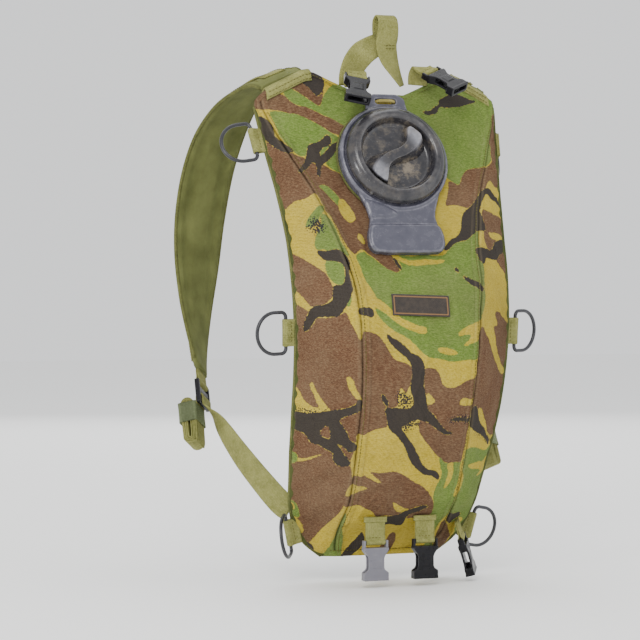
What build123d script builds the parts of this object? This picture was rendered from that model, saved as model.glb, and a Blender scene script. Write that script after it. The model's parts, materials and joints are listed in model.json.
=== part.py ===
from build123d import *
import os
from math import cos, hypot, radians, sin, sqrt

os.makedirs("parts", exist_ok=True)

# Hydration pack for a 3 litre reservoir, in the shape it has on a wearer's back, in millimetres.
# The origin is the middle of the flat rear face of the back pad. +Y points to the wearer,
# -Y to the outer face with the fill port, +X to the right as seen from the outer side, +Z up.

# ---- back line: the pack arches over the wearer's back ----
BACK_GAP = 12.0           # from the pad's rear face to the middle of the back panel's edges
BOW_RADIUS = 200.0        # radius of the arch at the middle of the back
BOW_TOP = 44.0            # size of the arch above the middle
BOW_BOTTOM = 35.0         # size of the arch below the middle

# ---- carrier: foam laminate panels sewn together ----
LAMINATE = 4.3            # camouflage canvas, foam and lining
CREST_SHARE = 0.62        # flat middle of the front panel, as a share of its half width
WRAP_SHARE = 0.5          # flat middle of the back panel, as a share of its half width
# height, back edge half width, front seam half width, depth at the seam,
# how far the middle of the front stands out, how far the middle of the back stands in
LEVELS = [
    (-219, 57.0, 46.0, 9.0, 1.5, 1.0),
    (-210, 72.0, 50.0, 14.0, 2.0, 2.0),
    (-197, 84.0, 54.0, 25.0, 4.0, 3.0),
    (-182, 91.0, 54.5, 36.0, 6.0, 3.0),
    (-167, 95.5, 54.0, 47.0, 7.0, 3.0),
    (-145, 98.0, 54.5, 51.0, 8.0, 2.0),
    (-115, 101.5, 55.0, 50.0, 8.0, 2.0),
    (-75, 104.5, 55.5, 48.0, 8.0, 2.0),
    (-30, 106.0, 57.5, 46.0, 8.0, 2.0),
    (10, 107.0, 60.0, 45.0, 8.0, 2.0),
    (30, 107.5, 62.0, 44.0, 5.0, 2.0),
    (45, 108.0, 64.0, 42.0, -3.0, 2.0),
    (62, 108.5, 66.5, 35.0, -8.5, 2.0),
    (80, 109.0, 70.0, 30.0, -5.0, 3.0),
    (105, 111.0, 77.0, 25.0, -3.5, 4.0),
    (130, 113.5, 86.0, 21.0, 1.5, 5.0),
    (155, 117.0, 98.0, 16.0, 8.0, 7.0),
    (180, 120.0, 109.0, 12.0, 13.4, 9.0),
    (205, 123.0, 119.5, 9.2, 16.0, 12.0),
    (250, 124.0, 122.0, 9.0, 12.0, 11.5),
]
# top edge, from the low middle over a peak to the side
SCOOP_X, SCOOP_Z = 28.0, 220.0
PEAK_X, PEAK_Z = 71.0, 240.0
CORNER_X, CORNER_Z = 113.0, 221.0
SIDE_X, SIDE_Z = 123.0, 211.0

BAND_DROP = 8.0           # webbing folded over the sloping shoulder edges
BAND_THICK = 1.6
PAD_HALF_W, PAD_HALF_H = 52.0, 56.0
PAD_BEVEL = 6.0

# ---- reservoir, fill port and cap; heights are along the port's axis from the collar's face ----
FILM = 1.5
RESERVOIR_GAP = 0.5       # between the film and the laminate
RESERVOIR_LOW, RESERVOIR_HIGH = -200, 168
WATER_LOW, WATER_HIGH = -194, 158
PORT_X, PORT_Y, PORT_Z = -3.0, 2.0, 158.0
PORT_TILT = 22.0          # the port leans back, so its axis points this far above level
COLLAR_R = 54.0
COLLAR_THICK = 9.0
BORE_R = 41.0
SPIGOT_R = 44.5
SPIGOT_END = -16.0
LUG_SLOT_Y = 59.0
PLATE_UNDER, PLATE_TOP = -6.0, 2.0
NECK_TOP = -1.0
PLUG_R = BORE_R - 0.3
CAP_R = 48.5
GRIP_TOP = 10.5

# ---- webbing and hardware ----
WEB_THICK = 1.6
WEB_20, WEB_25 = 19.0, 25.0
RING_WIRE_R = 1.7
RING_HALF = 19.0          # half height of a D-ring, to the wire's middle
RING_CORNER = 5.0
RING_STRAIGHT = 7.0
PIN_RUN = 0.12            # clearance round a bar that turns in its webbing loop
BUCKLE_W, BUCKLE_T = 24.5, 8.4
BUCKLE_FRAME_T = 6.0
BUCKLE_WAIST = 15.5
BUCKLE_END = 36.0         # from the bar's middle to the mouth
BAR_R = 1.6
PAD_STRAP_THICK = 8.0
LOCK_W, LOCK_LENGTH, LOCK_T = 32.0, 24.0, 4.0
RIGHT_DROP = 30.0         # the right shoulder strap is let out this much further


def back_y(z):
    """Y of the back panel's edges at height z."""
    rise = BOW_TOP if z > 0 else BOW_BOTTOM
    return -BACK_GAP + rise * (1 - cos(z / sqrt(BOW_RADIUS * rise)))


def section(z, inset=0.0):
    """Half widths and faces of the carrier at a height, with its walls moved in by inset."""
    for lower, upper in zip(LEVELS, LEVELS[1:]):
        if lower[0] <= z <= upper[0]:
            share = (z - lower[0]) / (upper[0] - lower[0])
            back, seam, depth, crown, wrap = [a + share * (b - a) for a, b in zip(lower[1:], upper[1:])]
            rear = back_y(lower[0]) + share * (back_y(upper[0]) - back_y(lower[0]))
    slant = hypot(back - seam, depth)
    back_in = back - inset * (slant + back - seam) / depth
    seam_in = seam - inset * (slant - back + seam) / depth
    front = [(-seam_in, rear - depth + inset),
             (-seam * CREST_SHARE, rear - depth - crown + inset),
             (seam * CREST_SHARE, rear - depth - crown + inset),
             (seam_in, rear - depth + inset)]
    rear_face = [(back_in, rear - inset),
                 (back * WRAP_SHARE, rear - wrap - inset),
                 (-back * WRAP_SHARE, rear - wrap - inset),
                 (-back_in, rear - inset)]
    return front, rear_face


def whole(inset):
    def outline(z):
        front, rear = section(z, inset)
        return front + rear
    return outline


def front_wall(z):
    return section(z)[0] + section(z, LAMINATE)[0][::-1]


def rear_wall(z):
    return section(z)[1] + section(z, LAMINATE)[1][::-1]


def side_wall(side):
    pick = -1 if side > 0 else 0

    def outline(z):
        front, rear = section(z)
        front_in, rear_in = section(z, LAMINATE)
        return [front[pick], rear[-1 - pick], rear_in[-1 - pick], front_in[pick]]
    return outline


def pad_wall(z):
    y = section(z)[1][1][1]
    return [(-PAD_HALF_W, y), (PAD_HALF_W, y), (PAD_HALF_W - PAD_BEVEL, 0), (PAD_BEVEL - PAD_HALF_W, 0)]


def slices(outline, heights):
    """Level faces of a changing outline, one at each height."""
    faces = []
    for z in heights:
        with BuildSketch(Plane.XY.offset(z)) as level:
            Polygon(*outline(z), align=None)
        faces.append(level.sketch.face())
    return faces


def heights(low, high):
    """The two given heights and the levels between them."""
    return [low] + [level[0] for level in LEVELS if low < level[0] < high] + [high]


def top_edge(lift):
    """Right half of the top edge, raised by lift."""
    return [(SCOOP_X, SCOOP_Z + lift), (PEAK_X, PEAK_Z + lift), (CORNER_X, CORNER_Z + lift),
            (SIDE_X + lift, SIDE_Z)]


def above_top_edge(lift=0.0):
    """Everything above the pack's top edge, as a block to take away."""
    half = top_edge(lift) + [(145, 160)]
    mirrored = [(-x, z) for x, z in reversed(half)]
    with BuildPart() as block:
        with BuildSketch(Plane.XZ):
            Polygon(*mirrored, *half, (145, 320), (-145, 320), align=None)
        extrude(amount=160, both=True)
    return block.part


def unit(vector):
    return Vector(vector).normalized()


def ribbon(stations, thick):
    """Faces across a strap. A station is its middle, its outward direction and its width."""
    points = [Vector(station[0]) for station in stations]
    faces = []
    for index, (point, outward, width) in enumerate(stations):
        ahead = points[min(index + 1, len(points) - 1)]
        behind = points[max(index - 1, 0)]
        along = (ahead - behind).normalized()
        across = unit(outward).cross(along).normalized()
        with BuildSketch(Plane(origin=point, x_dir=across, z_dir=along)) as cut:
            Rectangle(width, thick)
        faces.append(cut.sketch.face())
    return faces


def save(name, node):
    name.part.label = node
    export_step(name.part, f"parts/{node}.step")


LOWEST, HIGHEST = LEVELS[0][0], LEVELS[-1][0]
TOP_CUT = above_top_edge()
PORT_AXIS = Vector(0, -cos(radians(PORT_TILT)), sin(radians(PORT_TILT)))
PORT = Plane(origin=(PORT_X, PORT_Y, PORT_Z), x_dir=(1, 0, 0), z_dir=PORT_AXIS)
PORT_SIDE = Plane(origin=PORT.origin, x_dir=(1, 0, 0), z_dir=Vector(1, 0, 0).cross(PORT_AXIS))

# ---- carrier panels ----
with BuildPart() as front_panel:
    loft(sections=slices(front_wall, heights(LOWEST, HIGHEST)), ruled=True)
    add(TOP_CUT, mode=Mode.SUBTRACT)
    with BuildSketch(PORT.offset(-60)):
        Circle(SPIGOT_R + 1.5)
    extrude(amount=80, mode=Mode.SUBTRACT)
save(front_panel, "front_panel")

for side, word in ((-1, "left"), (1, "right")):
    with BuildPart() as gusset:
        loft(sections=slices(side_wall(side), heights(LOWEST, HIGHEST)), ruled=True)
        add(TOP_CUT, mode=Mode.SUBTRACT)
    save(gusset, f"{word}_gusset")

with BuildPart() as back_panel:
    loft(sections=slices(rear_wall, heights(LOWEST, HIGHEST)), ruled=True)
    add(TOP_CUT, mode=Mode.SUBTRACT)
save(back_panel, "back_panel")

with BuildPart() as back_pad:
    loft(sections=slices(pad_wall, heights(-PAD_HALF_H, PAD_HALF_H)), ruled=True)
save(back_pad, "back_pad")

# ---- webbing bands folded over the two sloping shoulder edges ----
for side, word in ((-1, "left"), (1, "right")):
    with BuildPart() as top_band:
        loft(sections=slices(whole(-BAND_THICK), heights(190, HIGHEST)), ruled=True)
        add(above_top_edge(BAND_THICK), mode=Mode.SUBTRACT)
        with BuildPart(mode=Mode.PRIVATE) as filling:
            loft(sections=slices(whole(-0.02), heights(185, HIGHEST)), ruled=True)
            add(TOP_CUT, mode=Mode.SUBTRACT)
        add(filling.part, mode=Mode.SUBTRACT)
        with BuildSketch(Plane.XZ):
            Polygon(*[(side * x, z) for x, z in (
                (PEAK_X + 1, PEAK_Z + 5), (CORNER_X, CORNER_Z + 5),
                (CORNER_X, CORNER_Z - BAND_DROP), (PEAK_X + 1, PEAK_Z - BAND_DROP))], align=None)
        extrude(amount=160, both=True, mode=Mode.INTERSECT)
    save(top_band, f"{word}_top_band")

# ---- reservoir: a hollow film bag that the carrier holds ----
with BuildPart() as reservoir:
    film_outside = whole(LAMINATE + RESERVOIR_GAP)
    loft(sections=slices(film_outside, heights(RESERVOIR_LOW, RESERVOIR_HIGH)), ruled=True)
    with BuildPart(mode=Mode.PRIVATE) as water:
        film_inside = whole(LAMINATE + RESERVOIR_GAP + FILM)
        loft(sections=slices(film_inside, heights(WATER_LOW, WATER_HIGH)), ruled=True)
    add(water.part, mode=Mode.SUBTRACT)
    with BuildSketch(PORT.offset(SPIGOT_END - 0.1)):
        Circle(SPIGOT_R + 0.05)
    extrude(amount=40, mode=Mode.SUBTRACT)
save(reservoir, "reservoir")

# ---- fill port: collar, lug, neck and grip plate moulded in one ----
NECK_OUTLINE = [(48, -18), (33.5, -54), (33, -63), (37.5, -77), (37.5, -90), (33, -96),
                (-33, -96), (-37.5, -90), (-37.5, -77), (-33, -63), (-33.5, -54), (-48, -18)]
PLATE_OUTLINE = [(34.5, -67), (37.5, -77), (37.5, -90), (33, -96),
                 (-33, -96), (-37.5, -90), (-37.5, -77), (-34.5, -67)]
LUG_OUTLINE = [(21, 48), (19, 60), (13, 66.5), (-13, 66.5), (-19, 60), (-21, 48)]

with BuildPart() as port_collar:
    with BuildSketch(PORT.offset(-COLLAR_THICK)):
        Circle(COLLAR_R)
    extrude(amount=COLLAR_THICK)
    with BuildSketch(PORT.offset(PLATE_UNDER)):
        Polygon(*NECK_OUTLINE, align=None)
    extrude(amount=NECK_TOP - PLATE_UNDER)
    with BuildSketch(PORT.offset(PLATE_UNDER)):
        Polygon(*PLATE_OUTLINE, align=None)
    extrude(amount=PLATE_TOP - PLATE_UNDER)
    with BuildSketch(PORT.offset(PLATE_UNDER)):
        Polygon(*LUG_OUTLINE, align=None)
        with Locations((0, LUG_SLOT_Y)):
            Rectangle(20, 5.2, mode=Mode.SUBTRACT)
    extrude(amount=NECK_TOP - PLATE_UNDER)
    with BuildSketch(PORT.offset(SPIGOT_END)):
        Circle(SPIGOT_R)
    extrude(amount=-SPIGOT_END - COLLAR_THICK)
    with BuildSketch(PORT.offset(SPIGOT_END)):
        Circle(BORE_R)
    extrude(amount=-SPIGOT_END + 1, mode=Mode.SUBTRACT)
save(port_collar, "port_collar")

with BuildPart() as cap_gasket:
    with BuildSketch(PORT.offset(0.1)):
        Circle(47.0)
        Circle(BORE_R + 0.5, mode=Mode.SUBTRACT)
    extrude(amount=1.0)
save(cap_gasket, "cap_gasket")

# cap: a thick rim, a cone up to the bowl's lip, a deep bowl and a hollow plug below
CAP_PROFILE = [(0, -2.4), (36.5, -2.4), (37.5, -11.5), (PLUG_R, -11.5), (PLUG_R, 1.2), (CAP_R, 1.2),
               (CAP_R, 5.0), (46.8, 6.4), (39.4, 12.5), (37.2, 12.5), (35.6, 11.0), (34.2, 0.8), (0, 0.8)]
GRIP_SIDE = [(25.0, 23.5), (19.0, 8.0), (7.0, -2.0), (-2.0, -5.5), (-11.0, -12.0), (-16.5, -29.5)]
with BuildPart() as fill_cap:
    with BuildSketch(PORT_SIDE):
        Polygon(*CAP_PROFILE, align=None)
    revolve(axis=Axis(PORT.origin, PORT_AXIS))
    with BuildSketch(PORT.offset(0.5)):
        Polygon(*GRIP_SIDE, *[(-x, -y) for x, y in GRIP_SIDE], align=None)
    extrude(amount=GRIP_TOP - 0.5)
save(fill_cap, "fill_cap")

with BuildPart() as port_loop:
    with BuildSketch(PORT.offset(-10)):
        with Locations((0, LUG_SLOT_Y)):
            Rectangle(18, 3.4)
    extrude(amount=10.6)
save(port_loop, "port_loop")

# ---- drinking tube outlet on the lower front of the reservoir ----
OUTLET_LOW, OUTLET_HIGH = -140.0, -112.0
outlet_inset = LAMINATE + RESERVOIR_GAP + FILM
outlet_low = section(OUTLET_LOW, outlet_inset)[0][1][1]
outlet_high = section(OUTLET_HIGH, outlet_inset)[0][1][1]
outlet_up = Vector(0, outlet_high - outlet_low, OUTLET_HIGH - OUTLET_LOW).normalized()
outlet_in = outlet_up.cross(Vector(1, 0, 0))
outlet_middle = Vector(0, (outlet_low + outlet_high) / 2, (OUTLET_LOW + OUTLET_HIGH) / 2)
OUTLET = Plane(origin=outlet_middle + outlet_in * 1.2, x_dir=(1, 0, 0), z_dir=outlet_in)
with BuildPart() as tube_outlet:
    with BuildSketch(OUTLET):
        Circle(12)
    extrude(amount=3)
    with BuildSketch(OUTLET.offset(2)):
        Circle(6)
    extrude(amount=9)
    with BuildSketch(Plane(origin=OUTLET.origin + outlet_in * 8, x_dir=(1, 0, 0), z_dir=outlet_up)):
        Circle(4)
    extrude(amount=22)
save(tube_outlet, "tube_outlet")

# ---- label patch on the front panel, left plain ----
LABEL_X, LABEL_Z, LABEL_TILT = -3.0, 21.0, 2.0
LABEL_W, LABEL_H = 56.0, 19.5
label_low = section(10)[0][1][1]
label_high = section(30)[0][1][1]
LABEL_PLANE = Plane(origin=(LABEL_X, (label_low + label_high) / 2 - 0.15, 20),
                    x_dir=(cos(radians(LABEL_TILT)), 0, -sin(radians(LABEL_TILT))),
                    z_dir=Vector(1, 0, 0).cross(Vector(0, label_high - label_low, 20)))
with BuildPart() as label_patch:
    with BuildSketch(LABEL_PLANE):
        Rectangle(LABEL_W, LABEL_H)
    extrude(amount=1.0)
save(label_patch, "label_patch")


# ---- D-rings on webbing tabs along the two side edges ----
def edge_point(side, z):
    return Vector(side * section(z)[1][0][0], section(z)[1][0][1], z)


def ring_frame(side, z, lean, turn, reach):
    """Frame at a ring's bar: x points out, turned from sideways towards the wearer.

    y runs up the edge, by the share of the edge's own slope given as lean.
    """
    edge = edge_point(side, z)
    slope = edge_point(side, z + 8) - edge_point(side, z - 8)
    up = (Vector(0, 0, 1) * (1 - lean) + slope.normalized() * lean).normalized()
    sideways = Vector(side, 0, 0)
    sideways = (sideways - up * sideways.dot(up)).normalized()
    forward = up.cross(sideways) * side
    out = sideways * cos(radians(turn)) + forward * sin(radians(turn))
    return Plane(origin=edge + out * reach, x_dir=out, z_dir=out.cross(up))


def turned_ring(tab_frame, side, turn):
    """The ring's own plane: its tab's frame turned about the bar."""
    up = tab_frame.y_dir
    swing = radians(turn)
    out = tab_frame.x_dir * cos(swing) + up.cross(tab_frame.x_dir) * sin(swing) * side
    return Plane(origin=tab_frame.origin, x_dir=out, z_dir=out.cross(up))


RING_REACH = 9.0
TAB_PLATE = RING_REACH - 3.0
TAB_HALF_T = RING_WIRE_R + PIN_RUN + WEB_THICK
RINGS = {   # side, height, lean, turn of the tab, turn of the ring
    "upper_left": (-1, 174, 1.0, 0, 8),
    "upper_right": (1, 174, 1.0, 78, 60),
    "middle_left": (-1, -5, 1.0, 0, -14),
    "middle_right": (1, -5, 1.0, 12, 28),
    "lower_left": (-1, -193, 0.45, -20, -60),
    "lower_right": (1, -193, 0.45, 0, 16),
}
for word, (side, z, lean, tab_turn, ring_turn) in RINGS.items():
    tab_frame = ring_frame(side, z, lean, tab_turn, RING_REACH)
    edge_up = tab_frame.y_dir
    ring_plane = turned_ring(tab_frame, side, ring_turn - tab_turn)
    ring_out = ring_plane.x_dir
    with BuildPart() as d_ring:
        with BuildLine(ring_plane) as hoop:
            bar = Line((0, 0), (0, RING_HALF - RING_CORNER))
            bend = RadiusArc(bar @ 1, (RING_CORNER, RING_HALF), RING_CORNER)
            flat = Line(bend @ 1, (RING_CORNER + RING_STRAIGHT, RING_HALF))
            RadiusArc(flat @ 1, (RING_CORNER + RING_STRAIGHT + RING_HALF, 0), RING_HALF)
        with BuildSketch(Plane(origin=tab_frame.origin, x_dir=ring_out, z_dir=edge_up)):
            Circle(RING_WIRE_R)
        sweep(path=hoop.line)
        mirror(about=Plane(origin=tab_frame.origin, x_dir=ring_out, z_dir=edge_up))
    save(d_ring, f"{word}_d_ring")
    with BuildPart() as ring_tab:
        with BuildSketch(Plane(origin=tab_frame.origin - edge_up * WEB_25 / 2,
                               x_dir=tab_frame.x_dir, z_dir=edge_up)):
            Circle(TAB_HALF_T)
            with Locations((-TAB_PLATE / 2, 0)):
                Rectangle(TAB_PLATE, 2 * WEB_THICK)
            Circle(RING_WIRE_R + PIN_RUN, mode=Mode.SUBTRACT)
        extrude(amount=WEB_25)
    save(ring_tab, f"{word}_ring_tab")


# ---- side release buckle sockets on webbing tabs ----
def socket_and_tab(plane, tab_length, node, route=()):
    """plane: origin at the bar's middle, x along the bar, y away from the mouth.

    route: more stations of the tab's webbing, beyond its straight length.
    """
    with BuildPart() as buckle:
        with BuildSketch(plane.offset(-BUCKLE_FRAME_T / 2)):
            with Locations((0, -5.3)):
                Rectangle(BUCKLE_W, 13.4)
            with Locations((0, -1.0)):
                Rectangle(WEB_20 + 1.4, 8.2, mode=Mode.SUBTRACT)
        extrude(amount=BUCKLE_FRAME_T)
        with BuildSketch(plane.offset(-BUCKLE_T / 2)):
            with Locations((0, -20)):
                Rectangle(BUCKLE_WAIST, 18)
            with Locations((0, 4.5 - BUCKLE_END)):
                Rectangle(BUCKLE_W, 9.0)
        extrude(amount=BUCKLE_T)
        with BuildSketch(plane.offset(-BUCKLE_T / 4 - 0.2)):
            with Locations((0, 11.5 - BUCKLE_END)):
                Rectangle(WEB_20 + 0.5, 23.0)
        extrude(amount=BUCKLE_T / 2 + 0.4, mode=Mode.SUBTRACT)
        with BuildSketch(Plane(origin=plane.origin - plane.x_dir * BUCKLE_W / 2,
                               x_dir=plane.y_dir, z_dir=plane.x_dir)):
            Circle(BAR_R)
        extrude(amount=BUCKLE_W)
    save(buckle, node)
    with BuildPart() as tab:
        with BuildSketch(Plane(origin=plane.origin - plane.x_dir * WEB_20 / 2,
                               x_dir=plane.y_dir, z_dir=plane.x_dir)):
            Circle(BAR_R + PIN_RUN + 1.3)
            with Locations((tab_length / 2, 0)):
                Rectangle(tab_length, 2.6)
            Circle(BAR_R + PIN_RUN, mode=Mode.SUBTRACT)
        extrude(amount=WEB_20)
        if route:
            bend = [(plane.origin + plane.y_dir * (tab_length - 1), plane.z_dir, WEB_20)]
            bend += [(Vector(point), Vector(face), WEB_20) for point, face in route]
            with BuildPart(mode=Mode.PRIVATE) as foot:
                loft(sections=ribbon(bend, 2.6), ruled=True)
            add(foot.part)
    save(tab, f"{node}_tab")


def hanging(point, down, outward):
    """Buckle frame from the bar's middle, the way its mouth points and the way its face looks."""
    y_dir = -unit(down)
    face = (unit(outward) - y_dir * unit(outward).dot(y_dir)).normalized()
    return Plane(origin=point, x_dir=y_dir.cross(face), z_dir=face)


LOWER_BUCKLE_X, LOWER_BUCKLE_Y, LOWER_BUCKLE_Z = 25.0, -4.5, -201.5
LEFT_FOOT = [
    ((-29, 40.5, 238), (-0.1, 0.5, 0.9)), ((-28.5, 43, 231), (0, 1, 0.2)), ((-28.5, 42, 226), (0, 1, 0)),
]
RIGHT_FOOT = [
    ((39.5, 41.5, 246), (0, 0.5, 0.9)), ((38, 45, 239), (0, 1, 0.2)), ((37.5, 44.5, 230), (0, 1, 0)),
]
LOWER_LEFT = (-LOWER_BUCKLE_X, LOWER_BUCKLE_Y, LOWER_BUCKLE_Z)
LOWER_RIGHT = (LOWER_BUCKLE_X, LOWER_BUCKLE_Y, LOWER_BUCKLE_Z)
SOCKETS = {     # frame, straight tab length, route of the tab beyond it
    "lower_left_buckle": (hanging(LOWER_LEFT, (0, 0, -1), (0, -1, 0)), 21, ()),
    "lower_right_buckle": (hanging(LOWER_RIGHT, (0, 0, -1), (0, -1, 0)), 21, ()),
    "top_left_buckle": (hanging((-31, 28, 234), (-0.25, -0.72, -0.62), (0, -0.7, 0.7)), 9, LEFT_FOOT),
    "top_right_buckle": (hanging((45, 30, 241), (0.55, -0.68, -0.46), (0, -0.6, 0.8)), 9, RIGHT_FOOT),
    "side_buckle": (hanging((71.5, 15.5, -203), (0.30, 0.05, -0.95), (0.85, -0.5, 0.2)), 18, ()),
}
for node, (plane, tab_length, route) in SOCKETS.items():
    socket_and_tab(plane, tab_length, node, route)


# ---- shoulder straps, adjusters, lower straps and their rolled tails, as worn ----
STRAP = [   # across from the middle, y, z, outward direction, width
    (93, 64.0, 232, (0.30, -0.50, 0.80), 46),
    (97, 84, 237, (0.35, -0.10, 0.95), 52),
    (104, 115, 231, (0.40, 0.30, 0.85), 56),
    (112, 148, 214, (0.35, 0.60, 0.72), 58),
    (119, 178, 187, (0.30, 0.80, 0.50), 60),
    (125, 200, 150, (0.30, 0.92, 0.25), 60),
    (130, 210, 105, (0.35, 0.93, 0.05), 60),
    (133, 211, 60, (0.45, 0.89, 0.0), 58),
    (137, 202, 18, (0.60, 0.80, 0.0), 52),
    (140, 187, -20, (0.75, 0.65, -0.05), 44),
    (142, 170, -46, (0.82, 0.55, -0.10), 34),
]
LOCK_DOWN = (0.05, -0.45, -0.90)
LOCK_OUT = (0.82, 0.55, -0.15)
LOWER_STRAP = [     # across from the middle, y, z, outward direction, share of the right side's drop
    (133, 134, -98, (0.90, 0.10, 0.0), 0.75),
    (123, 102, -124, (0.90, -0.35, 0.0), 0.3),
    (111, 77, -147, (0.80, -0.55, 0.0), 0.0),
    (98, 58, -167, (0.70, -0.70, 0.0), 0.0),
]
ROLL_L, ROLL_T = 50.0, 17.0
KEEPER_T, KEEPER_W = 1.3, 20.0


def flip(side, vector, drop=0.0):
    return Vector(side * vector[0], vector[1], vector[2] - drop)


def lock_frame(side):
    """Frame of the strap lock at its upper bar, y up the strap and z outward."""
    end = flip(side, STRAP[-1][:3], RIGHT_DROP if side > 0 else 0)
    down = flip(side, LOCK_DOWN).normalized()
    return hanging(end + down * 16, down, flip(side, LOCK_OUT))


for side, word in ((-1, "left"), (1, "right")):
    low = RIGHT_DROP if side > 0 else 0.0
    drops = [0] * 7 + [0.1 * low, 0.4 * low, 0.8 * low, low]
    stations = [(flip(side, row[:3], drop), flip(side, row[3]), row[4]) for row, drop in zip(STRAP, drops)]
    with BuildPart() as shoulder_strap:
        loft(sections=ribbon(stations, PAD_STRAP_THICK), ruled=True)
    save(shoulder_strap, f"{word}_shoulder_strap")

    lock_plane = lock_frame(side)
    bar, down = lock_plane.origin, -lock_plane.y_dir
    with BuildPart() as strap_lock:
        with BuildSketch(lock_plane.offset(-LOCK_T / 2)):
            with Locations((0, -LOCK_LENGTH / 2 + 1)):
                Rectangle(LOCK_W, LOCK_LENGTH)
            with Locations((0, -1.0)):
                Rectangle(WEB_25 + 1.2, 9.4, mode=Mode.SUBTRACT)
            with Locations((0, 4.5 - LOCK_LENGTH), (0, 11.2 - LOCK_LENGTH)):
                Rectangle(WEB_25 + 1.2, 3.6, mode=Mode.SUBTRACT)
        extrude(amount=LOCK_T)
        with BuildSketch(Plane(origin=bar - lock_plane.x_dir * LOCK_W / 2,
                               x_dir=lock_plane.y_dir, z_dir=lock_plane.x_dir)):
            Circle(BAR_R)
        extrude(amount=LOCK_W)
    save(strap_lock, f"{word}_strap_lock")
    with BuildPart() as lock_tab:
        with BuildSketch(Plane(origin=bar - lock_plane.x_dir * WEB_25 / 2,
                               x_dir=lock_plane.y_dir, z_dir=lock_plane.x_dir)):
            Circle(BAR_R + PIN_RUN + 1.3)
            with Locations((6.6, 0)):
                Rectangle(13.2, 2.6)
            Circle(BAR_R + PIN_RUN, mode=Mode.SUBTRACT)
        extrude(amount=WEB_25)
    save(lock_tab, f"{word}_lock_tab")

    lock_end = bar + down * (LOCK_LENGTH + 2.5) - lock_plane.z_dir * 4.0
    lower = [(lock_end, lock_plane.z_dir, WEB_25)]
    for x, y, z, outward, share in LOWER_STRAP:
        lower.append((flip(side, (x, y, z), share * low), flip(side, outward), WEB_25))
    with BuildPart() as lower_strap:
        loft(sections=ribbon(lower, WEB_THICK), ruled=True)
    save(lower_strap, f"{word}_lower_strap")

    roll_plane = Plane(origin=bar + down * 38 + lock_plane.z_dir * 13 - lock_plane.x_dir * WEB_25 / 2,
                       x_dir=down, z_dir=lock_plane.x_dir)
    with BuildPart() as strap_tail:
        with BuildSketch(roll_plane):
            SlotOverall(ROLL_L, ROLL_T)
        extrude(amount=WEB_25)
    save(strap_tail, f"{word}_strap_tail")
    keeper_plane = Plane(origin=bar + down * (30 - KEEPER_W / 2) + lock_plane.z_dir * 13,
                         x_dir=lock_plane.x_dir, z_dir=down)
    with BuildPart() as tail_keeper:
        with BuildSketch(keeper_plane):
            Rectangle(WEB_25 + 0.2 + 2 * KEEPER_T, ROLL_T + 0.2 + 2 * KEEPER_T)
            Rectangle(WEB_25 + 0.2, ROLL_T + 0.2, mode=Mode.SUBTRACT)
        extrude(amount=KEEPER_W)
    save(tail_keeper, f"{word}_tail_keeper")

# ---- haul handle: one strap, sewn into a hanging loop at its middle ----
HANDLE_T = 1.8
LEFT_LEG = [
    ((-29, 48.5, 228), (0, -1, 0), 25),
    ((-28, 50, 240), (0.1, -1, 0), 25),
    ((-21, 51, 254), (0.3, -0.9, 0.3), 25),
    ((-9, 52, 264), (0.5, -0.5, 0.7), 24),
    ((5, 53, 268), (0.3, -0.6, 0.8), 22),
]
RIGHT_LEG = [
    ((6, 52, 268), (0, -1, 0), 24),
    ((10, 51, 257), (0.1, -1, 0), 24),
    ((17, 50, 243), (0.45, -0.9, 0), 23),
    ((24, 48, 228), (0.8, -0.6, 0), 20),
]
HANG_LOOP = [
    ((6, 50, 266), (0, -1, 0), 24),
    ((7, 44, 277), (0, -1, 0.5), 24),
    ((7, 43, 288), (0, -1, -0.1), 24),
    ((7, 49, 296), (0, -0.4, 1), 24),
    ((7, 57, 296), (0, 0.4, 1), 24),
    ((7, 63, 288), (0, 1, 0), 24),
    ((7, 62, 277), (0, 1, -0.5), 24),
    ((6, 55, 266), (0, 1, 0), 24),
]
with BuildPart() as haul_handle:
    loft(sections=ribbon(LEFT_LEG, HANDLE_T), ruled=True)
    with BuildPart(mode=Mode.PRIVATE) as right_leg:
        loft(sections=ribbon(RIGHT_LEG, HANDLE_T), ruled=True)
    add(right_leg.part)
    with BuildPart(mode=Mode.PRIVATE) as hang_loop:
        loft(sections=ribbon(HANG_LOOP, HANDLE_T), ruled=True)
    add(hang_loop.part)
save(haul_handle, "haul_handle")
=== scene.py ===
import json
from math import cos, pi, radians, sin

import bpy
import numpy as np
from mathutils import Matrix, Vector, noise

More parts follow.
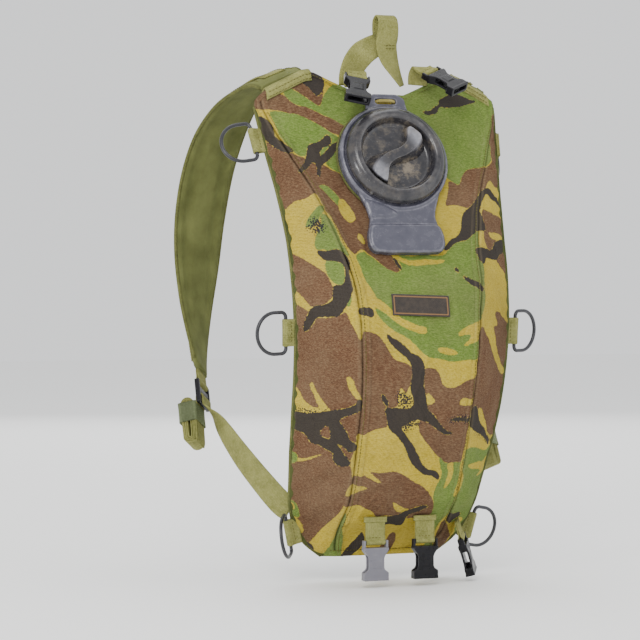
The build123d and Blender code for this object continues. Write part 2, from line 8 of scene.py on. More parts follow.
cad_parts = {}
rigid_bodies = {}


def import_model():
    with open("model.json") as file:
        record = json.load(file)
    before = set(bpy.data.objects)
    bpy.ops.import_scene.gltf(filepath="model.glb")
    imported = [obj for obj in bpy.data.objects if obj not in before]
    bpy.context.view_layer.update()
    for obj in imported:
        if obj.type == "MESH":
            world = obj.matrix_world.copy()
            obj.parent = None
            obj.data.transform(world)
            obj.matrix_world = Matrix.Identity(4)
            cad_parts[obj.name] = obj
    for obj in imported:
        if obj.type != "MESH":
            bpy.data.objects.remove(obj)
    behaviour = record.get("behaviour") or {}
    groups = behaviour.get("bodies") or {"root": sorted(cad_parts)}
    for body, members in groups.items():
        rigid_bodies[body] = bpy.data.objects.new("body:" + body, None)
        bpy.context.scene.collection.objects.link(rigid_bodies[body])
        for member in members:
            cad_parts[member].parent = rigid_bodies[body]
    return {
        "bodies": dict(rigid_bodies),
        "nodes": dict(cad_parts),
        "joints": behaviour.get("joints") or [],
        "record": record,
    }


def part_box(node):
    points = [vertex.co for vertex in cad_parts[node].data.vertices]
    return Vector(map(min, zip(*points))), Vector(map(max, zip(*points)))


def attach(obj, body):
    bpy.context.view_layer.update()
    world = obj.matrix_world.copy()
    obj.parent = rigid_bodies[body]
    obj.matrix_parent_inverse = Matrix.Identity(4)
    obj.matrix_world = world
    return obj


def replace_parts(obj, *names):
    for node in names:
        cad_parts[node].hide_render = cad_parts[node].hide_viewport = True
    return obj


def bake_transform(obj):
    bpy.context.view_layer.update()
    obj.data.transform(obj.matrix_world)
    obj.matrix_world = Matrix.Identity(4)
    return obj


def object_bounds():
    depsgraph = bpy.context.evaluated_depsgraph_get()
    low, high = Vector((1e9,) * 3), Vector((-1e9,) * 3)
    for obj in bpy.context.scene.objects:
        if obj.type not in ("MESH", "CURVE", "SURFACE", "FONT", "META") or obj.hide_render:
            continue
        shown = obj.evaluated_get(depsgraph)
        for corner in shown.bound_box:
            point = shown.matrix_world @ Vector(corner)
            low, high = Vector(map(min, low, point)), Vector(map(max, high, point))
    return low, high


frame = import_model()

# The hydration pack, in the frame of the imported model: +Y to the wearer, +X right as seen
# from the outer face, +Z up. Lengths are written in millimetres and turned into metres by MM.
MM = 0.001
CAD_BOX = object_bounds()
JOINTS = {joint["name"]: joint for joint in frame["joints"]}
SIDES = ((-1, "left"), (1, "right"))


# ---------------------------------------------------------------- shader helpers
class Shader:
    """A material built around one Principled BSDF."""

    def __init__(self, name, roughness=0.6, specular=0.5, sheen=0.0):
        self.material = bpy.data.materials.new(name)
        self.material.use_nodes = True
        self.tree = self.material.node_tree
        self.bsdf = self.tree.nodes["Principled BSDF"]
        self.bsdf.inputs["Roughness"].default_value = roughness
        self.bsdf.inputs["Specular IOR Level"].default_value = specular
        self.bsdf.inputs["Sheen Weight"].default_value = sheen

    def add(self, kind, inputs=None, output=0, **settings):
        """An output of a new node with the given inputs and settings."""
        node = self.tree.nodes.new(kind)
        for key, value in settings.items():
            setattr(node, key, value)
        for key, value in (inputs or {}).items():
            self.put(node.inputs[key], value)
        return node.outputs[output]

    def put(self, socket, value):
        """Links an output to a socket, or sets a constant on it."""
        if isinstance(value, bpy.types.NodeSocket):
            self.tree.links.new(value, socket)
        elif hasattr(value, "__len__") and len(value) == 3 and len(socket.default_value) == 4:
            socket.default_value = (*value, 1.0)
        else:
            socket.default_value = value

    def place(self):
        """Position in millimetres, in the piece's own frame."""
        point = self.add("ShaderNodeTexCoord", output=3)
        return self.add("ShaderNodeVectorMath", {0: point, "Scale": 1000.0}, operation="SCALE")

    def field(self, name):
        """A value stored at each point of the mesh."""
        return self.add("ShaderNodeAttribute", output=2, attribute_name=name)

    def math(self, operation, a, b=0.0):
        """Sum, product or other result of one or two values."""
        return self.add("ShaderNodeMath", {0: a, 1: b}, operation=operation)

    def noise(self, size, detail, rough, where):
        """Noise from 0 to 1 whose features are about size millimetres across."""
        return self.add("ShaderNodeTexNoise", {"Vector": where, "Scale": 1.0 / size,
                                               "Detail": detail, "Roughness": rough})

    def step(self, value, low, high):
        """0 below low and 1 above high."""
        return self.add("ShaderNodeMapRange", {"Value": value, "From Min": low, "From Max": high},
                        interpolation_type="SMOOTHSTEP")

    def span(self, value, low, high, to_low, to_high):
        """value carried from low..high over to to_low..to_high."""
        return self.add("ShaderNodeMapRange", {"Value": value, "From Min": low, "From Max": high,
                                               "To Min": to_low, "To Max": to_high})

    def patches(self, where, size, detail, rough, low, high, to_low=0.0, to_high=1.0):
        """Noise spread from to_low, where it is under low, to to_high, where it is over high."""
        return self.span(self.noise(size, detail, rough, where), low, high, to_low, to_high)

    def mix(self, share, a, b, blend="MIX"):
        """Colour a carried over to colour b by share."""
        return self.add("ShaderNodeMix", {0: share, 6: a, 7: b}, output=2,
                        data_type="RGBA", blend_type=blend)

    def wave(self, value, pitch):
        """A sine from -1 to 1 along value, in millimetres."""
        return self.math("SINE", self.math("MULTIPLY", value, 2 * pi / pitch))

    def finish(self, colour, height=None, depth=0.1, rough=None):
        """The material, with its colour and with a height of depth millimetres as bump."""
        self.put(self.bsdf.inputs["Base Color"], colour)
        if rough is not None:
            self.put(self.bsdf.inputs["Roughness"], rough)
        if height is not None:
            bump = self.add("ShaderNodeBump", {"Height": height, "Strength": 1.0, "Distance": depth * MM})
            self.put(self.bsdf.inputs["Normal"], bump)
        return self.material


def rgb(*display):
    """Linear colour from display values of 11 to 255."""
    return tuple(((c / 255 + 0.055) / 1.055) ** 2.4 for c in display)


def plain_weave(s, across, along, pitch):
    """Height of an over-and-under weave, from about -1 to 1."""
    return s.math("MULTIPLY", s.wave(across, pitch), s.wave(along, pitch))


# ---------------------------------------------------------------- materials
SAND, GREEN = rgb(214, 188, 58), rgb(118, 146, 62)
BROWN, BLACK = rgb(114, 80, 58), rgb(47, 45, 55)


def camo_canvas():
    """Four colour disruptive print on a cotton canvas. The fields are signed distances in mm."""
    s = Shader("camo_canvas", roughness=0.92, specular=0.12)
    where = s.place()
    wobble = s.math("MULTIPLY", s.math("SUBTRACT", s.noise(2.6, 4.0, 0.7, where), 0.5), 2.6)
    grain = s.noise(1.1, 3.0, 0.6, where)
    edges = {name: s.step(s.math("ADD", s.field(name), wobble), -0.35, 0.35)
             for name in ("green", "brown", "black")}
    colour = s.mix(edges["brown"], s.mix(edges["green"], SAND, GREEN), BROWN)
    dots = s.add("ShaderNodeTexVoronoi", {"Vector": where, "Scale": 1 / 1.9, "Randomness": 0.75}, output=0)
    reach = s.span(s.field("stipple"), -3.5, 4.0, 0.0, 0.62)
    speck = s.step(s.math("SUBTRACT", reach, dots), 0.0, 0.06)
    ink = s.math("MULTIPLY", s.math("MAXIMUM", edges["black"], speck), 0.95)
    # the print lies thinly on the slubs, so the ground shows as fine pale flecks
    fleck = s.noise(1.6, 4.0, 0.75, s.add("ShaderNodeMapping", {"Vector": where, "Scale": (0.5, 1.0, 1.5)}))
    colour = s.mix(s.span(fleck, 0.46, 0.72, 0.0, 0.24), colour, rgb(196, 182, 140))
    colour = s.mix(s.span(fleck, 0.54, 0.34, 0.0, 0.34), colour, rgb(34, 30, 26))
    # worn and faded patches
    colour = s.mix(s.patches(where, 46.0, 4.0, 0.6, 0.38, 0.72, 0.0, 0.14), colour, rgb(176, 160, 126))
    colour = s.mix(s.patches(where, 75.0, 3.0, 0.55, 0.42, 0.72, 0.0, 0.24), colour, rgb(58, 48, 34))
    colour = s.mix(ink, colour, BLACK)
    colour = s.mix(0.45, colour, s.mix(grain, rgb(120, 120, 120), rgb(240, 240, 240)), "MULTIPLY")
    colour = s.mix(s.span(s.field("worn"), 0.0, 1.0, 0.0, 0.16), colour, rgb(176, 160, 126))
    # painted shade: darker in the seam grooves and along the edge of the seam allowance
    colour = s.mix(s.span(s.field("seam_shade"), 0.0, 1.0, 0.0, 0.55), colour, rgb(34, 30, 24))
    parts = s.add("ShaderNodeSeparateXYZ", {0: where}).node
    across = s.math("ADD", parts.outputs[0], parts.outputs[1])
    twill = s.wave(s.math("ADD", across, parts.outputs[2]), 1.5)
    height = s.math("ADD", plain_weave(s, across, parts.outputs[2], 1.1), s.math("MULTIPLY", twill, 0.5))
    height = s.math("ADD", height, s.math("MULTIPLY", s.noise(1.4, 3.0, 0.6, where), 3.0))
    return s.finish(colour, height, 0.16)


def webbing(name, base, dark, light):
    """Narrow woven tape: crosswise ribs, a firmer edge and a dusty face."""
    s = Shader(name, roughness=0.85, specular=0.15)
    across, along = s.field("across"), s.field("along")
    where = s.place()
    lean = s.math("MULTIPLY", s.math("ABSOLUTE", s.math("SINE", s.math("MULTIPLY", across, pi / 2.1))), 0.9)
    ribs = s.wave(s.math("ADD", along, lean), 1.25)
    cords = s.wave(across, 2.1)
    dust = s.noise(14.0, 4.0, 0.6, where)
    colour = s.mix(s.span(dust, 0.3, 0.72, 0.15, 1.0), dark, base)
    colour = s.mix(s.patches(where, 2.0, 3.0, 0.65, 0.4, 0.75, 0.0, 0.45), colour, light)
    # painted shade in the hollows between the ribs
    colour = s.mix(s.span(ribs, -1.0, 0.3, 0.5, 0.0), colour, dark)
    colour = s.mix(s.step(s.field("hem"), 0.2, 0.9), colour, dark)
    height = s.math("ADD", ribs, s.math("MULTIPLY", cords, 0.7))
    return s.finish(colour, height, 0.14)


def moulded(name, base, light, gloss, scuffs, stain_and_light=None, shine=0.5):
    """Injection moulded plastic with fine texture, scuffs, rubbed edges and dried stains; the stains lie
    thicker on a bowl's lower right as a painted lit side, and a pale painted highlight goes where a piece
    asks for one.
    """
    s = Shader(name, roughness=gloss, specular=shine)
    where = s.place()
    cloud = s.noise(9.0, 5.0, 0.65, where)
    streak_place = s.add("ShaderNodeMapping", {"Vector": where, "Rotation": (0.4, 0.7, 0.5),
                                               "Scale": (0.12, 1.6, 0.6)})
    streak = s.noise(1.0, 5.0, 0.7, streak_place)
    rub = s.math("MULTIPLY", s.step(streak, 0.58, 0.72), s.step(cloud, 0.42, 0.62))
    colour = s.mix(s.span(cloud, 0.3, 0.75, 0.0, 0.16), base, light)
    if stain_and_light is not None:
        # dried stains, laid thicker on the bowl's lower right so that side reads as a painted lit side
        stained_and_lit = s.step(s.noise(17.0, 6.0, 0.7, where), 0.47, 0.66)
        stained_and_lit = s.math("MULTIPLY", stained_and_lit, s.span(s.field("bowl"), 0.0, 1.0, 0.12, 0.75))
        colour = s.mix(stained_and_lit, colour, stain_and_light)
    colour = s.mix(s.math("MULTIPLY", rub, scuffs), colour, light)
    worn = s.math("MULTIPLY", s.step(s.field("worn"), 0.4, 1.0), s.span(cloud, 0.35, 0.65, 0.05, 0.42))
    colour = s.mix(worn, colour, light)
    # painted highlight: pale grey laid on the raised ends of the grip's crest
    painted_highlight = s.math("MULTIPLY", s.field("painted_highlight"), s.span(cloud, 0.3, 0.7, 0.35, 0.8))
    colour = s.mix(painted_highlight, colour, rgb(158, 158, 166))
    rough = s.math("ADD", s.span(cloud, 0.3, 0.75, gloss - 0.07, gloss + 0.12), s.math("MULTIPLY", rub, 0.15))
    height = s.math("ADD", s.noise(0.45, 2.0, 0.5, where), s.math("MULTIPLY", streak, 0.5))
    return s.finish(colour, height, 0.03, rough)


def cloth(name, base, dark, pitch):
    """Plain coloured fabric with a visible weave."""
    s = Shader(name, roughness=0.9, specular=0.15)
    where = s.place()
    parts = s.add("ShaderNodeSeparateXYZ", {0: where}).node
    weave = plain_weave(s, s.math("ADD", parts.outputs[0], parts.outputs[1]), parts.outputs[2], pitch)
    colour = s.mix(s.patches(where, 30.0, 4.0, 0.6, 0.3, 0.7), base, dark)
    # painted shade in the low points of the weave
    colour = s.mix(s.span(weave, -1.0, 1.0, 0.3, 0.0), colour, dark)
    return s.finish(colour, s.math("ADD", weave, s.noise(0.7, 2.0, 0.5, where)), 0.12)


def label_weave():
    """Dark woven label with a raised border and no lettering."""
    s = Shader("label_weave", roughness=0.8, specular=0.25, sheen=0.1)
    where = s.place()
    across, along = s.field("across"), s.field("along")
    weave = plain_weave(s, across, along, 0.9)
    colour = s.mix(s.patches(where, 5.0, 4.0, 0.6, 0.3, 0.75), rgb(50, 45, 42), rgb(72, 63, 55))
    colour = s.mix(s.step(s.field("border"), 0.35, 0.7), colour, rgb(140, 104, 66))
    # painted shade in the low points of the weave
    colour = s.mix(s.span(weave, -1.0, 1.0, 0.3, 0.0), colour, rgb(46, 42, 40))
    return s.finish(colour, s.math("ADD", weave, s.noise(0.6, 2.0, 0.5, where)), 0.12)


def spacer_mesh():
    """Open knitted mesh over foam: rows of small holes."""
    s = Shader("spacer_mesh", roughness=0.9, specular=0.2, sheen=0.25)
    where = s.place()
    flat = s.add("ShaderNodeMapping", {"Vector": where, "Scale": (1.0, 0.0, 0.62)})
    cell = s.add("ShaderNodeTexVoronoi", {"Vector": flat, "Scale": 1 / 2.4, "Randomness": 0.12}, output=0)
    hole = s.step(cell, 0.36, 0.22)
    colour = s.mix(s.patches(where, 25.0, 3.0, 0.6, 0.3, 0.7), rgb(70, 72, 56), rgb(92, 92, 70))
    # painted shade: the holes are coloured near black for the shade inside them
    colour = s.mix(hole, colour, rgb(26, 26, 24))
    height = s.math("ADD", s.math("MULTIPLY", hole, -2.0), s.noise(0.8, 2.0, 0.5, where))
    return s.finish(colour, height, 0.35)


def coated_wire():
    """Black coating, rubbed through in spots."""
    s = Shader("coated_wire", roughness=0.34, specular=0.5)
    where = s.place()
    wear = s.step(s.noise(3.5, 5.0, 0.7, where), 0.62, 0.72)
    colour = s.mix(s.patches(where, 11.0, 3.0, 0.6, 0.3, 0.7), rgb(26, 26, 30), rgb(44, 44, 50))
    colour = s.mix(s.math("MULTIPLY", wear, 0.5), colour, rgb(112, 110, 108))
    return s.finish(colour, s.noise(0.8, 3.0, 0.6, where), 0.03, s.span(wear, 0.0, 1.0, 0.32, 0.5))


def clear_sheet(name, tint, dark, gloss, clear):
    """Slightly clouded transparent plastic."""
    s = Shader(name, roughness=gloss, specular=0.5)
    where = s.place()
    s.bsdf.inputs["Transmission Weight"].default_value = clear
    s.bsdf.inputs["IOR"].default_value = 1.45
    colour = s.mix(s.patches(where, 22.0, 4.0, 0.6, 0.3, 0.7), tint, dark)
    rough = s.patches(where, 9.0, 3.0, 0.6, 0.3, 0.7, gloss, gloss + 0.15)
    return s.finish(colour, s.noise(6.0, 3.0, 0.5, where), 0.15, rough)


def rubber():
    """Dull moulded rubber."""
    s = Shader("rubber", roughness=0.62, specular=0.4)
    where = s.place()
    colour = s.mix(s.patches(where, 7.0, 4.0, 0.6, 0.3, 0.7), rgb(52, 52, 54), rgb(80, 79, 78))
    return s.finish(colour, s.noise(0.5, 3.0, 0.6, where), 0.05)


CANVAS = camo_canvas()
OLIVE = webbing("olive_webbing", rgb(154, 153, 90), rgb(106, 107, 54), rgb(184, 182, 122))
ELASTIC = webbing("elastic", rgb(128, 138, 100), rgb(88, 98, 66), rgb(158, 166, 126))
CORD = webbing("sand_cord", rgb(180, 166, 96), rgb(128, 116, 58), rgb(204, 190, 128))
BINDING = webbing("binding_tape", rgb(112, 114, 64), rgb(72, 75, 38), rgb(138, 140, 88))
THREAD = cloth("thread", rgb(122, 116, 62), rgb(80, 76, 38), 0.5)
LINING = cloth("lining_nylon", rgb(92, 98, 54), rgb(64, 70, 36), 0.7)
STRAP_CANVAS = cloth("strap_canvas", rgb(124, 128, 76), rgb(90, 94, 52), 1.1)
LABEL = label_weave()
MESH = spacer_mesh()
STAIN_AND_LIGHT = rgb(134, 122, 104)
PORT_PLASTIC = moulded("port_plastic", rgb(64, 64, 76), rgb(138, 136, 146), 0.22, 0.35)
CAP_PLASTIC = moulded("cap_plastic", rgb(30, 30, 36), rgb(126, 122, 120), 0.20, 0.45, STAIN_AND_LIGHT)
BUCKLE_PLASTIC = moulded("buckle_plastic", rgb(14, 14, 17), rgb(62, 60, 66), 0.28, 0.25, shine=0.2)
GREY_PLASTIC = moulded("grey_buckle_plastic", rgb(104, 103, 112), rgb(140, 138, 144), 0.34, 0.4)
RING_WIRE = coated_wire()
RUBBER = rubber()
FILM = clear_sheet("reservoir_film", rgb(170, 200, 225), rgb(140, 180, 215), 0.25, 0.85)
CLEAR_BLUE = clear_sheet("clear_blue_plastic", rgb(90, 140, 200), rgb(60, 110, 180), 0.2, 0.7)


def new_piece(name, points, faces, material, body="root", fields=None):
    """A mesh piece from points in millimetres that rides on a body, or on none if it will be blended."""
    mesh = bpy.data.meshes.new(name)
    mesh.from_pydata((np.asarray(points) * MM).tolist(), [], faces)
    mesh.validate()
    mesh.update()
    mesh.polygons.foreach_set("use_smooth", [True] * len(mesh.polygons))
    for key, values in (fields or {}).items():
        layer = mesh.attributes.new(key, "FLOAT", "POINT")
        layer.data.foreach_set("value", np.asarray(values, dtype=np.float32).ravel())
    piece = bpy.data.objects.new(name, mesh)
    bpy.context.scene.collection.objects.link(piece)
    mesh.materials.append(material)
    # Blender puts .001 behind a material's name when the CAD's material already has it
    if body is not None:
        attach(piece, body)
    return piece


def tube_faces(rows, count, start=0):
    """Faces of a closed tube of so many rows of count points, numbered from start, shut at both ends."""
    faces = []
    for r in range(rows - 1):
        for c in range(count):
            a, b = start + r * count + c, start + r * count + (c + 1) % count
            faces.append((a, b, b + count, a + count))
    last = start + (rows - 1) * count
    return faces + [tuple(range(start, start + count))[::-1], tuple(range(last, last + count))]


def grid_faces(rows, columns, start=0, flip=False):
    """Four sided faces of a grid of points, numbered row by row from start."""
    faces = []
    for r in range(rows - 1):
        for c in range(columns - 1):
            a = start + r * columns + c
            quad = (a, a + 1, a + columns + 1, a + columns)
            faces.append(quad[::-1] if flip else quad)
    return faces


def normals_of(grid):
    """Unit normals of a grid of points, rows x columns x 3."""
    normal = np.cross(np.gradient(grid, axis=1), np.gradient(grid, axis=0))
    return normal / np.maximum(np.linalg.norm(normal, axis=2, keepdims=True), 1e-9)


def cloud(points, size, seed=0.0, octaves=3):
    """Soft noise from about -1 to 1 at each point."""
    flat = points.reshape(-1, 3) / size + seed
    values = [noise.fractal(Vector(p), 1.0, 2.0, octaves) for p in flat]
    return np.array(values).reshape(points.shape[:-1])


def shell(name, grid, thickness, material, fields, hole=None):
    """A closed panel: the grid as its outer face, a copy moved in by thickness, open where hole is true."""
    rows, columns = grid.shape[:2]
    inner = grid - normals_of(grid) * thickness
    count = rows * columns
    quads = grid_faces(rows, columns)
    if hole is not None:
        cut = hole.ravel()
        quads = [quad for quad in quads if not cut[list(quad)].any()]
    edges = {}
    for quad in quads:
        for a, b in zip(quad, quad[1:] + quad[:1]):
            edges[(a, b)] = True
    faces = quads + [tuple(i + count for i in quad[::-1]) for quad in quads]
    faces += [(b, a, a + count, b + count) for a, b in edges if (b, a) not in edges]
    points = np.concatenate([grid.reshape(-1, 3), inner.reshape(-1, 3)])
    doubled = {key: np.concatenate([v.ravel(), v.ravel()]) for key, v in fields.items()}
    if hole is not None:
        used = np.zeros(len(points), dtype=bool)
        used[np.array(quads).ravel()] = True
        used[np.array(quads).ravel() + count] = True
        place = np.cumsum(used) - 1
        faces = [tuple(int(place[i]) for i in face) for face in faces]
        points = points[used]
        doubled = {key: v[used] for key, v in doubled.items()}
    return new_piece(name, points, faces, material, fields=doubled)


# ---------------------------------------------------------------- tape, thread and moulded shapes
def spline(points, step):
    """Rows about step apart on a smooth curve through the given ones, which start with x, y and z."""
    points = np.array(points, dtype=float)
    ends = np.concatenate([[2 * points[0] - points[1]], points, [2 * points[-1] - points[-2]]])
    rows = []
    for p0, p1, p2, p3 in zip(ends, ends[1:], ends[2:], ends[3:]):
        count = max(1, int(round(np.linalg.norm((p2 - p1)[:3]) / step)))
        for share in np.arange(count) / count:
            rows.append(0.5 * (2 * p1 + (p2 - p0) * share + (2 * p0 - 5 * p1 + 4 * p2 - p3) * share ** 2
                               + (3 * p1 - p0 - 3 * p2 + p3) * share ** 3))
    return np.array(rows + [points[-1]])


def unit_rows(vectors):
    """Each row made one long."""
    return vectors / np.maximum(np.linalg.norm(vectors, axis=1, keepdims=True), 1e-9)


def strap_frames(stations, step):
    """Middles, across and outward directions, widths and lengths so far along a strap."""
    rows = spline([(*middle, *outward, width) for middle, outward, width in stations], step)
    middle, outward, width = rows[:, :3], rows[:, 3:6], rows[:, 6]
    ahead = unit_rows(np.gradient(middle, axis=0))
    across = unit_rows(np.cross(outward, ahead))
    outward = unit_rows(np.cross(ahead, across))
    return middle, across, outward, width, run_of(middle)


def run_of(path):
    """Length so far at each point of a path."""
    return np.concatenate([[0], np.cumsum(np.linalg.norm(np.diff(path, axis=0), axis=1))])


def swept(name, frames, section, material, body="root", hem=None):
    """A closed piece swept along frames. section: rows of (share across, height in mm)."""
    middle, across, outward, width, run = frames
    count = len(section)
    a = section[None, :, 0] * width[:, None] / 2
    b = np.repeat(section[None, :, 1], len(middle), axis=0)
    points = middle[:, None] + a[..., None] * across[:, None] + b[..., None] * outward[:, None]
    fields = {"across": a, "along": np.repeat(run[:, None], count, axis=1)}
    fields["hem"] = np.zeros_like(a) if hem is None else np.repeat(hem(run)[:, None], count, axis=1)
    return new_piece(name, points.reshape(-1, 3), tube_faces(len(middle), count), material, body, fields)


def tape_section(thick, columns=9):
    """Flat tape with a slightly thicker, rounded selvedge."""
    shares = np.sin(np.linspace(-pi / 2, pi / 2, columns))
    height = thick / 2 * np.where(np.abs(shares) > 0.97, 0.45, 1.0 - 0.10 * (1 - np.abs(shares)))
    top = list(zip(shares, height))
    bottom = [(a, -b) for a, b in top[::-1]]
    return np.array(top + bottom)


def tape(name, stations, thick, body="root", step=1.6):
    """Olive webbing along stations, each a middle, an outward direction and a width."""
    return swept(name, strap_frames(stations, step), tape_section(thick), OLIVE, body)


def between(value, places, rows):
    """The row at a value, from rows at rising places."""
    return np.array([np.interp(value, places, rows[:, k]) for k in range(3)])


def stitch_points(path, outward, pitch=3.3, length=2.4, radius=0.36):
    """Points and faces of a row of lock stitches lying along a path."""
    path, outward = np.array(path), unit_rows(np.array(outward, dtype=float))
    run = run_of(path)
    points, faces, sides = [], [], 5
    profile = [(-0.5, 0.25, -0.3), (-0.36, 0.9, 0.12), (0.0, 1.0, 0.3), (0.36, 0.9, 0.12), (0.5, 0.25, -0.3)]
    for start in np.arange(pitch / 2, run[-1] - pitch / 2, pitch):
        place = between(start, run, path)
        ahead = between(start + 0.5, run, path) - place
        ahead /= max(np.linalg.norm(ahead), 1e-9)
        up = between(start, run, outward)
        side = np.cross(up, ahead)
        faces += tube_faces(len(profile), sides, len(points))
        for share, girth, lift in profile:
            for k in range(sides):
                angle = 2 * pi * k / sides
                points.append(place + ahead * share * length + side * radius * girth * cos(angle)
                              + up * radius * (girth * sin(angle) + lift))
    return points, faces


def stitches(name, rows, body):
    """One piece of all the stitch rows, each a path and its outward directions."""
    points, faces = [], []
    for path, outward in rows:
        more, quads = stitch_points(path, outward)
        faces += [tuple(i + len(points) for i in quad) for quad in quads]
        points += more
    new_piece(name, points, faces, THREAD, body)


def rounded(outline, radius, steps=4, closed=True):
    """The outline with its corners turned into short curves."""
    points = [np.array(p, dtype=float) for p in outline]
    count, result = len(points), []
    for i, corner in enumerate(points):
        if not closed and i in (0, count - 1):
            result.append(corner)
            continue
        before, after = points[i - 1] - corner, points[(i + 1) % count] - corner
        reach = min(radius, 0.45 * np.linalg.norm(before), 0.45 * np.linalg.norm(after))
        start = corner + before / np.linalg.norm(before) * reach
        end = corner + after / np.linalg.norm(after) * reach
        for share in np.linspace(0, 1, steps):
            result.append((1 - share) ** 2 * start + 2 * share * (1 - share) * corner + share ** 2 * end)
    return np.array(result)


class Solid:
    """Closed shapes in a frame of their own, in mm, that are melted into one moulding."""

    def __init__(self):
        self.points, self.faces = [], []

    def take(self, points, faces):
        """Adds one closed shape."""
        start = len(self.points)
        self.points += [tuple(p) for p in points]
        self.faces += [tuple(start + i for i in face) for face in faces]

    def join(self, lower, upper):
        """Two outlines of as many points each, joined by a wall."""
        count = len(lower)
        self.take(lower + upper, [tuple(range(count))[::-1], tuple(range(count, 2 * count))]
                  + [(i, (i + 1) % count, (i + 1) % count + count, i + count) for i in range(count)])

    def prism(self, outline, low, high):
        """An outline pulled up from low to high."""
        self.join([(x, y, low) for x, y in outline], [(x, y, high) for x, y in outline])

    def box(self, x, y, z):
        """A block between the two limits given for x, y and z."""
        self.prism([(x[0], y[0]), (x[1], y[0]), (x[1], y[1]), (x[0], y[1])], *z)

    def rod(self, start, end, radius, sides=16):
        """A round bar from start to end."""
        start, end = Vector(start), Vector(end)
        turn = (end - start).to_track_quat("Z", "Y")
        ring = [turn @ Vector((radius * cos(2 * pi * k / sides), radius * sin(2 * pi * k / sides), 0))
                for k in range(sides)]
        self.join([start + p for p in ring], [end + p for p in ring])

    def revolve(self, profile, segments=160):
        """A closed profile of (radius, height) turned about z."""
        count = len(profile)
        points, faces = [], []
        for k in range(segments):
            angle = 2 * pi * k / segments
            points += [(r * cos(angle), r * sin(angle), h) for r, h in profile]
            after = (k + 1) % segments
            for i in range(count):
                j = (i + 1) % count
                faces.append((k * count + i, after * count + i, after * count + j, k * count + j))
        self.take(points, faces)

    def melt(self, name, voxel, smoothing):
        """One skin round all the shapes, with moulded edges."""
        mesh = bpy.data.meshes.new(name)
        mesh.from_pydata(self.points, [], self.faces)
        mesh.update()
        block = bpy.data.objects.new(name, mesh)
        bpy.context.scene.collection.objects.link(block)
        remesh = block.modifiers.new("skin", "REMESH")
        remesh.mode, remesh.voxel_size = "VOXEL", voxel
        smooth = block.modifiers.new("edges", "SMOOTH")
        smooth.factor, smooth.iterations = 0.5, smoothing
        graph = bpy.context.evaluated_depsgraph_get()
        result = bpy.data.meshes.new_from_object(block.evaluated_get(graph))
        points = np.array([v.co for v in result.vertices])
        faces = [tuple(p.vertices) for p in result.polygons]
        bpy.data.objects.remove(block)
        return points, faces


def mirrored(half):
    """A half outline, given on +x, closed by its mirror image."""
    return [tuple(p) for p in half] + [(-x, y) for x, y in half[::-1]]


def on_side(side, stations):
    """Strap stations given for the right, with how far each is let out there, or mirrored to the left."""
    return [(Vector((side * x, y, z - (drop if side > 0 else 0))), Vector((side * a, b, c)), width)
            for (x, y, z), (a, b, c), width, drop in stations]


def placed(points, origin, x_axis, y_axis, z_axis):
    """Points of a local frame, in the pack's frame."""
    return np.array(origin) + np.asarray(points) @ np.array([tuple(x_axis), tuple(y_axis), tuple(z_axis)])


def joint_frame(joint_name, node):
    """Origin and axis of a hinge, the way its node reaches from it, and the third direction."""
    joint = JOINTS[joint_name]
    origin = Vector(joint["pos_m"]) / MM
    axis = Vector(joint["axis"]).normalized()
    low, high = (Vector(corner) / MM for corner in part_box(node))
    reach = (low + high) / 2 - origin
    reach = (reach - axis * reach.dot(axis)).normalized()
    return origin, axis, reach, axis.cross(reach)


# ---------------------------------------------------------------- carrier surfaces
# height, back edge half width, front seam half width, depth at the seam,
# how far the middle of the front stands out, how far the middle of the back stands in
LEVELS = np.array([
    (-219, 57.0, 46.0, 9.0, 1.5, 1.0), (-210, 72.0, 50.0, 14.0, 2.0, 2.0),
    (-197, 84.0, 54.0, 25.0, 4.0, 3.0), (-182, 91.0, 54.5, 36.0, 6.0, 3.0),
    (-167, 95.5, 54.0, 47.0, 7.0, 3.0), (-145, 98.0, 54.5, 51.0, 8.0, 2.0),
    (-115, 101.5, 55.0, 50.0, 8.0, 2.0), (-75, 104.5, 55.5, 48.0, 8.0, 2.0),
    (-30, 106.0, 57.5, 46.0, 8.0, 2.0), (10, 107.0, 60.0, 45.0, 8.0, 2.0),
    (30, 107.5, 62.0, 44.0, 5.0, 2.0), (45, 108.0, 64.0, 42.0, -3.0, 2.0),
    (62, 108.5, 66.5, 35.0, -8.5, 2.0), (80, 109.0, 70.0, 30.0, -5.0, 3.0),
    (105, 111.0, 77.0, 25.0, -3.5, 4.0), (130, 113.5, 86.0, 21.0, 1.5, 5.0),
    (155, 117.0, 98.0, 16.0, 8.0, 7.0), (180, 120.0, 109.0, 12.0, 13.4, 9.0),
    (205, 123.0, 119.5, 9.2, 16.0, 12.0), (250, 124.0, 122.0, 9.0, 12.0, 11.5),
])
BOTTOM = -219.0
TOP_EDGE = [(0, 219), (22, 219), (28, 221), (50, 231), (66, 239), (71, 240), (77, 239), (100, 227.5),
            (113, 221), (119, 216), (123, 211), (125, 206)]
BACK_GAP, BOW_RADIUS, BOW_TOP, BOW_BOTTOM = 12.0, 200.0, 44.0, 35.0
PORT = Vector((-3.0, 2.0, 158.0))
PORT_TILT = radians(22.0)
PORT_AXIS = Vector((0, -cos(PORT_TILT), sin(PORT_TILT)))
PORT_UP = Vector((0, sin(PORT_TILT), cos(PORT_TILT)))
ROW_STEP = 1.8


def back_y(z):
    """Depth of the arched back at heights z."""
    rise = np.where(z > 0, BOW_TOP, BOW_BOTTOM)
    return -BACK_GAP + rise * (1 - np.cos(z / np.sqrt(BOW_RADIUS * rise)))


FINE_Z = np.arange(-225.0, 255.0, 1.0)
BLUR_REACH = 7          # millimetres each way over which the levels are smoothed
BLUR = np.exp(-np.linspace(-2.2, 2.2, 2 * BLUR_REACH + 1) ** 2)


